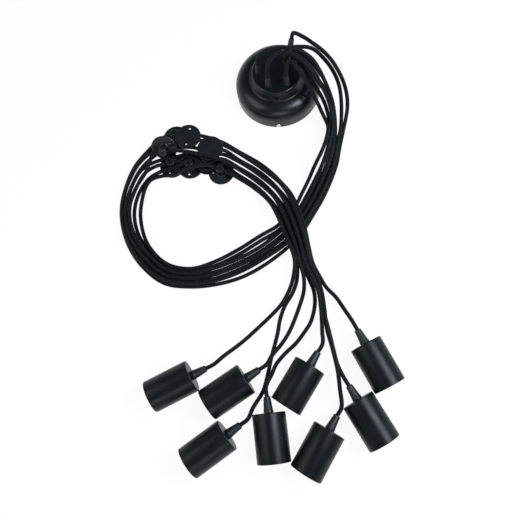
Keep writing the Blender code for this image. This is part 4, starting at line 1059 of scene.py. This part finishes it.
    def make_leads(self) -> None:
        """Eight brown and eight blue leads, each bundle led from under the grips into the terminal block."""
        for name, finish, slot in (("inner_leads_live", BROWN_PVC, "lead_live"),
                                   ("inner_leads_neutral", BLUE_PVC, "lead_neutral")):
            middle = np.array(LEAD_ROUTES[name])
            leads = []
            for angle in 2 * math.pi * np.arange(8) / 8:
                swing = np.array([math.cos(angle), math.sin(angle), 0]) * self.lead_swing
                line = middle + swing * np.linspace(1, 0.9, len(middle))[:, None]
                leads.append(tube(curve_through(line, step=0.0012)[0], self.lead_radius, sides=8)[:2])
            made = publish(name + "_bundle", join(leads), finish, "canopy")
            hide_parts(name)
            LOG.info("%s: %d leads", name, len(leads))


# Lampholders


@dataclass
class Lampholder:
    """One lampholder: its painted cover, moulded body with a threaded shell and a contact, and nylon grip."""

    number: int
    cover_radius: float = 0.0225
    cover_length: float = 0.0634
    grip_length: float = 0.0210
    wall: float = 0.0012
    cap: float = 0.0015
    edge: float = 0.0015
    neck_bore: float = 0.0050
    neck_depth: float = 0.0060
    shell_radius: float = 0.01262
    shell_sheet: float = 0.00030
    shell_start: float = 0.0050
    shell_end: float = 0.0300
    thread_pitch: float = 0.003629
    thread_depth: float = 0.00055

    def build(self) -> None:
        """Makes the cover, the body, the shell, the contact and the grip."""
        place = socket_place(self.number)
        body = f"lampholder_set_{self.number}"
        for name, surface, finish, slot, node_name in self.pieces():
            made = publish(f"{name}_{self.number}", moved(surface, place), finish, body)
            sharp_by_angle(made, degrees=40.0)
            if node_name:
                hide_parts(f"{node_name}_{self.number}")
        LOG.info("lampholder %d", self.number)

    def pieces(self) -> list[tuple]:
        """Every piece in the lampholder's frame, with its finish, slot and the node it stands for.

        Returns:
            Name, surface, finish, slot and node of each piece.
        """
        return [
            ("cover", self.cover(), CUP_PAINT, "cup", "lampholder_cover"),
            ("holder_body", self.body(), PHENOLIC, "holder", "lampholder"),
            ("threaded_shell", self.shell(), ALUMINIUM, "holder", None),
            ("centre_contact", self.contact(), BRASS, "holder", None),
            ("cord_grip", self.grip(), NYLON, "grip", "lampholder_grip"),
        ]

    def cover(self) -> Surface:
        """The drawn cup: a wall, a rounded edge at the closed end, a hole for the stem, a blunt mouth.

        Returns:
            Points and faces.
        """
        r, length, inner = self.cover_radius, self.cover_length, self.cover_radius - self.wall
        hole = self.neck_bore
        corners = [
            (r - 0.0003, 0, 0), (r, 0.0004, 0.0004), (r, length, self.edge), (hole, length, 0.0003),
            (hole, length - self.cap, 0.0003), (inner, length - self.cap, self.edge), (inner, 0.0004, 0.0004),
            (inner + 0.0003, 0, 0),
        ]
        return turned(rounded(corners, steps=6), segments=96, closed=True)

    def body(self) -> Surface:
        """The moulded body: a straight barrel, a shoulder and a neck bored for the grip, hollow in front.

        Returns:
            Points and faces.
        """
        end = self.cover_length - self.cap - GAP
        bottom = end - self.neck_depth
        corners = [
            (0.0135, 0.0040, 0), (0.0200, 0.0040, 0.0010), (0.0200, 0.0450, 0.0015), (0.0140, 0.0490, 0.0010),
            (0.0140, end, 0.0006), (self.neck_bore, end, 0.0003), (self.neck_bore, bottom, 0), (0, bottom, 0),
        ]
        inside = [(0, 0.0320), (0.0135, 0.0320)]
        return turned([*rounded(corners), *inside], segments=64, closed=True)

    def shell(self) -> Surface:
        """The rolled E27 thread, a closed skin 0.3 mm thick.

        At height h and angle a its radius is the shell's plus the thread's depth times
        cos(2 pi h / pitch - a), with the wave faded out over the last 1.5 mm at both ends.

        Returns:
            Points and faces.
        """
        rows, around = 96, 72
        height = np.linspace(self.shell_start, self.shell_end, rows)[:, None]
        angle = np.linspace(0, 2 * np.pi, around, endpoint=False)[None, :]
        fade = np.clip(np.minimum(height - self.shell_start, self.shell_end - height) / 0.0015, 0, 1)
        wave = np.cos(2 * np.pi * height / self.thread_pitch - angle) * fade
        inner = self.shell_radius + self.thread_depth * wave
        radius = np.vstack([inner, inner[::-1] + self.shell_sheet])
        up = np.broadcast_to(np.vstack([height, height[::-1]]), radius.shape)
        points = np.stack([radius * np.cos(angle), radius * np.sin(angle), up], 2).reshape(-1, 3)
        low = np.arange(len(points)).reshape(2 * rows, around)
        high = np.roll(low, -1, 0)
        return points, np.stack([low, high, np.roll(high, -1, 1), np.roll(low, -1, 1)], 2).reshape(-1, 4)

    def contact(self) -> Surface:
        """The sprung centre contact: a bent brass tongue on a low boss.

        Returns:
            Points and faces.
        """
        profile = [(0, 0.0290, 0), (0.0045, 0.0290, 0.0006), (0.0045, 0.0319, 0), (0, 0.0319, 0)]
        boss = turned(rounded(profile)[::-1], segments=40)
        steps, half, bend, sheet = 16, 0.0019, 0.0022, 0.0004
        t = np.linspace(0, 1, steps)
        up = 0.0284 - bend * np.sin(math.pi * t) ** 1.2
        line = np.stack([-0.0036 + 0.0072 * t, np.zeros(steps), up], 1)
        low = np.stack([line - (0, half, 0), line + (0, half, 0)], 1)
        top = low - (0, 0, sheet)
        ring = np.concatenate([low, top[:, ::-1]], 1)
        index = np.arange(4 * steps).reshape(steps, 4)
        a, b = index[:-1], index[1:]
        sides = np.stack([a, b, np.roll(b, -1, 1), np.roll(a, -1, 1)], 2).reshape(-1, 4)
        caps = np.array([index[0], index[-1][::-1]])
        return join([boss, (ring.reshape(-1, 3), np.vstack([sides, caps]))])

    def grip(self) -> Surface:
        """The tapered grip: a stem through the cap, a collar, a cone and a mouth for the cord.

        Returns:
            Points and faces.
        """
        base = self.cover_length + GAP
        tip = base + self.grip_length
        stem = self.cover_length - self.cap - self.neck_depth
        corners = [
            (0, stem, 0), (0.0046, stem, 0.0003), (0.0046, base, 0), (0.0067, base, 0.0004),
            (0.0067, base + 0.0034, 0.0005), (0.0063, base + 0.0038, 0.0003), (0.0048, tip - 0.0022, 0.0004),
            (0.0046, tip, 0.0005), (0.0032, tip, 0.0003), (0.0031, tip - 0.0008, 0), (0, tip - 0.0008, 0),
        ]
        return turned(rounded(corners), segments=56)


# Cord hooks


@dataclass
class CordHook:
    """A cord hook: a round base with a rolled edge and two screw holes, a bored stem, and its clamp screw."""

    number: int
    cords: Cords
    base_sheet: float = 0.0015
    bore_height: float = 0.0100
    base_radius: float = 0.020
    stem_radius: float = 0.0065
    stem_length: float = 0.0160
    screw_place: float = 0.0130
    bore_radius: float = 0.0036

    def build(self) -> None:
        """Makes the hook with its bore and holes cut, and its clamp screw."""
        place = self.cords.hook_frame(self.number)
        sheet, top = self.base_sheet, self.base_sheet + self.stem_length
        r, stem = self.base_radius, self.stem_radius
        corners = [
            (0, 0, 0), (r - 0.0002, 0, 0.0002), (r, 0.0006, 0.0003), (r - 0.0006, sheet, 0.0006),
            (stem + 0.0012, sheet, 0.0008), (stem, sheet + 0.0012, 0.0008), (stem, top, 0.0009), (0, top, 0),
        ]
        surface = moved(turned(rounded(corners, steps=6), segments=72), place)
        made = publish(f"hook_body_{self.number}", surface, HOOK_PAINT, "canopy")
        surface = moved(join(self.cutters()), place)
        cut_with(made, publish(f"hook_cutter_{self.number}", surface, HOOK_PAINT, "canopy"))
        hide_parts(f"cord_hook_{self.number}")
        corners = [
            (0, top - 0.0030, 0), (0.0016, top - 0.0030, 0), (0.0016, top + 0.0002, 0.0002),
            (0.0007, top + 0.0002, 0.0001), (0.0007, top - 0.0010, 0), (0, top - 0.0010, 0),
        ]
        surface = moved(turned(rounded(corners, steps=4), segments=6), place)
        publish(f"hook_clamp_screw_{self.number}", surface, BLACK_OXIDE, "canopy", smooth=False)
        LOG.info("cord hook %d", self.number)

    def cutters(self) -> list[Surface]:
        """The cord's bore, the clamp screw's hole and the two countersunk screw holes, as closed solids.

        Returns:
            The solids to cut away, in the hook's frame.
        """
        reach = self.stem_radius + 0.002
        lie = (Matrix.Translation((0, 0, self.base_sheet + self.bore_height))
               @ Matrix.Rotation(math.pi / 2, 4, "Y"))
        top = self.base_sheet + self.stem_length
        made = [moved(rod(self.bore_radius, -reach, reach, segments=40), lie),
                rod(0.0017, top - 0.0034, top + 0.001, segments=24)]
        slope = [(0.0014, 0.0006), (0.0026, 0.0017)]
        screw_hole = [(0, -0.001), (0.0014, -0.001), *slope, (0.0026, 0.003), (0, 0.003)]
        points, faces = turned(screw_hole, segments=32)
        turn = math.radians(HOOK_PLACES[self.number][3])
        for side in (turn, turn + math.pi):
            x, y = self.screw_place * math.cos(side), self.screw_place * math.sin(side)
            made.append((points + (x, y, 0), faces))
        return made


# Studio


@dataclass
class Studio:
    """A white table, soft light and the camera of the photograph."""

    camera_place: tuple[float, float, float] = (0.0392, -0.4794, 0.7820)
    right: tuple[float, float, float] = (0.99615, 0.0, -0.08769)
    up: tuple[float, float, float] = (0.02158, 0.96923, 0.24520)
    back: tuple[float, float, float] = (0.08499, -0.24615, 0.96550)
    focal_px: float = 550.0
    width_px: float = 520.0
    sensor_mm: float = 36.0
    table_half: float = 6.0
    table_drop: float = 0.0002
    # How much of the table is plain white to the camera; the rest takes the light's shadow
    plain_white: float = 0.93

    def build(self) -> None:
        """Makes the camera, the lights and the table."""
        self.make_camera()
        self.make_lights()
        self.make_table()

    def make_camera(self) -> None:
        """The camera at the place fitted to the lampholder covers' outlines."""
        data = bpy.data.cameras.new("camera")
        data.sensor_width = self.sensor_mm
        data.lens = self.sensor_mm * self.focal_px / self.width_px
        data.clip_start, data.clip_end = 0.01, 20.0
        made = bpy.data.objects.new("camera", data)
        turn = Matrix((self.right, self.up, self.back)).transposed().to_4x4()
        made.matrix_world = Matrix.Translation(self.camera_place) @ turn
        bpy.context.scene.collection.objects.link(made)
        bpy.context.scene.camera = made

    def make_lights(self) -> None:
        """A soft window on the right, two weaker panels, and a sky pale at the horizon and dim overhead."""
        for name, place, aim, size, power, tint in (
            ("window", (0.66, -0.26, 0.95), (0.05, -0.25, 0.0), (0.6, 0.6), 16.0, "#e2f0ff"),
            ("left_panel", (-0.95, -0.35, 1.00), (0.0, -0.3, 0.0), (0.9, 0.9), 6.0, "#ffffff"),
            ("front_fill", (0.1, -1.5, 0.8), (0.0, -0.3, 0.0), (0.9, 0.4), 4.0, "#ffffff"),
        ):
            data = bpy.data.lights.new(name, "AREA")
            data.shape, data.size, data.size_y, data.energy = "RECTANGLE", size[0], size[1], power
            data.color = linear(tint)[:3]
            made = bpy.data.objects.new(name, data)
            made.location = place
            made.rotation_euler = (Vector(aim) - Vector(place)).to_track_quat("-Z", "Y").to_euler()
            bpy.context.scene.collection.objects.link(made)
        world = bpy.data.worlds.new("studio")
        world.use_nodes = True
        tree = world.node_tree
        tree.nodes.clear()
        way = node(tree, "ShaderNodeTexCoord").outputs["Generated"]
        rise = node(tree, "ShaderNodeSeparateXYZ", i0=way).outputs["Z"]
        fade = node(tree, "ShaderNodeMapRange", Value=rise, From_Min=0.10, From_Max=0.55, To_Min=0.8,
                    To_Max=0.14)
        sky = node(tree, "ShaderNodeBackground", Color=linear("#ecf7f9"), Strength=fade)
        node(tree, "ShaderNodeOutputWorld", Surface=sky)
        bpy.context.scene.world = world
        bpy.context.scene.view_settings.view_transform = "Standard"

    def make_table(self) -> None:
        """A white table: it keeps the light's shadow, and the camera and the metal see it nearly white."""
        size = self.table_half
        mesh = bpy.data.meshes.new("table_top")
        corners = [(-size, -size, 0), (size, -size, 0), (size, size, 0), (-size, size, 0)]
        mesh.from_pydata(corners, [], [(0, 1, 2, 3)])
        made = bpy.data.objects.new("table_top", mesh)
        made.location.z = -self.table_drop
        bpy.context.scene.collection.objects.link(made)
        paint = bpy.data.materials.new("white_table")
        paint.use_nodes = True
        tree = paint.node_tree
        tree.nodes.clear()
        ray = node(tree, "ShaderNodeLightPath").outputs
        diffuse = node(tree, "ShaderNodeBsdfDiffuse", Color=linear("#f4f4f4"))
        glow = node(tree, "ShaderNodeEmission", Color=linear("#ffffff"), Strength=1.0)
        seen = ray["Is Camera Ray"]
        for kind in ("Is Glossy Ray", "Is Transmission Ray"):
            seen = node(tree, "ShaderNodeMath", {"operation": "MAXIMUM"}, i0=seen, i1=ray[kind])
        share = node(tree, "ShaderNodeMath", {"operation": "MULTIPLY"}, i0=seen, i1=self.plain_white)
        mixed = node(tree, "ShaderNodeMixShader", Fac=share, i1=diffuse, i2=glow)
        node(tree, "ShaderNodeOutputMaterial", Surface=mixed)
        mesh.materials.append(paint)


def main() -> None:
    """Builds every piece in order."""
    studio = Studio()
    studio.build()
    cords = Cords()
    cords.settle()
    cords.build()
    Canopy().build()
    for number in CUP_PLACES:
        Lampholder(number).build()
    for number in HOOK_PLACES:
        CordHook(number, cords).build()
    bpy.context.view_layer.update()


if __name__ == "__main__":
    main()
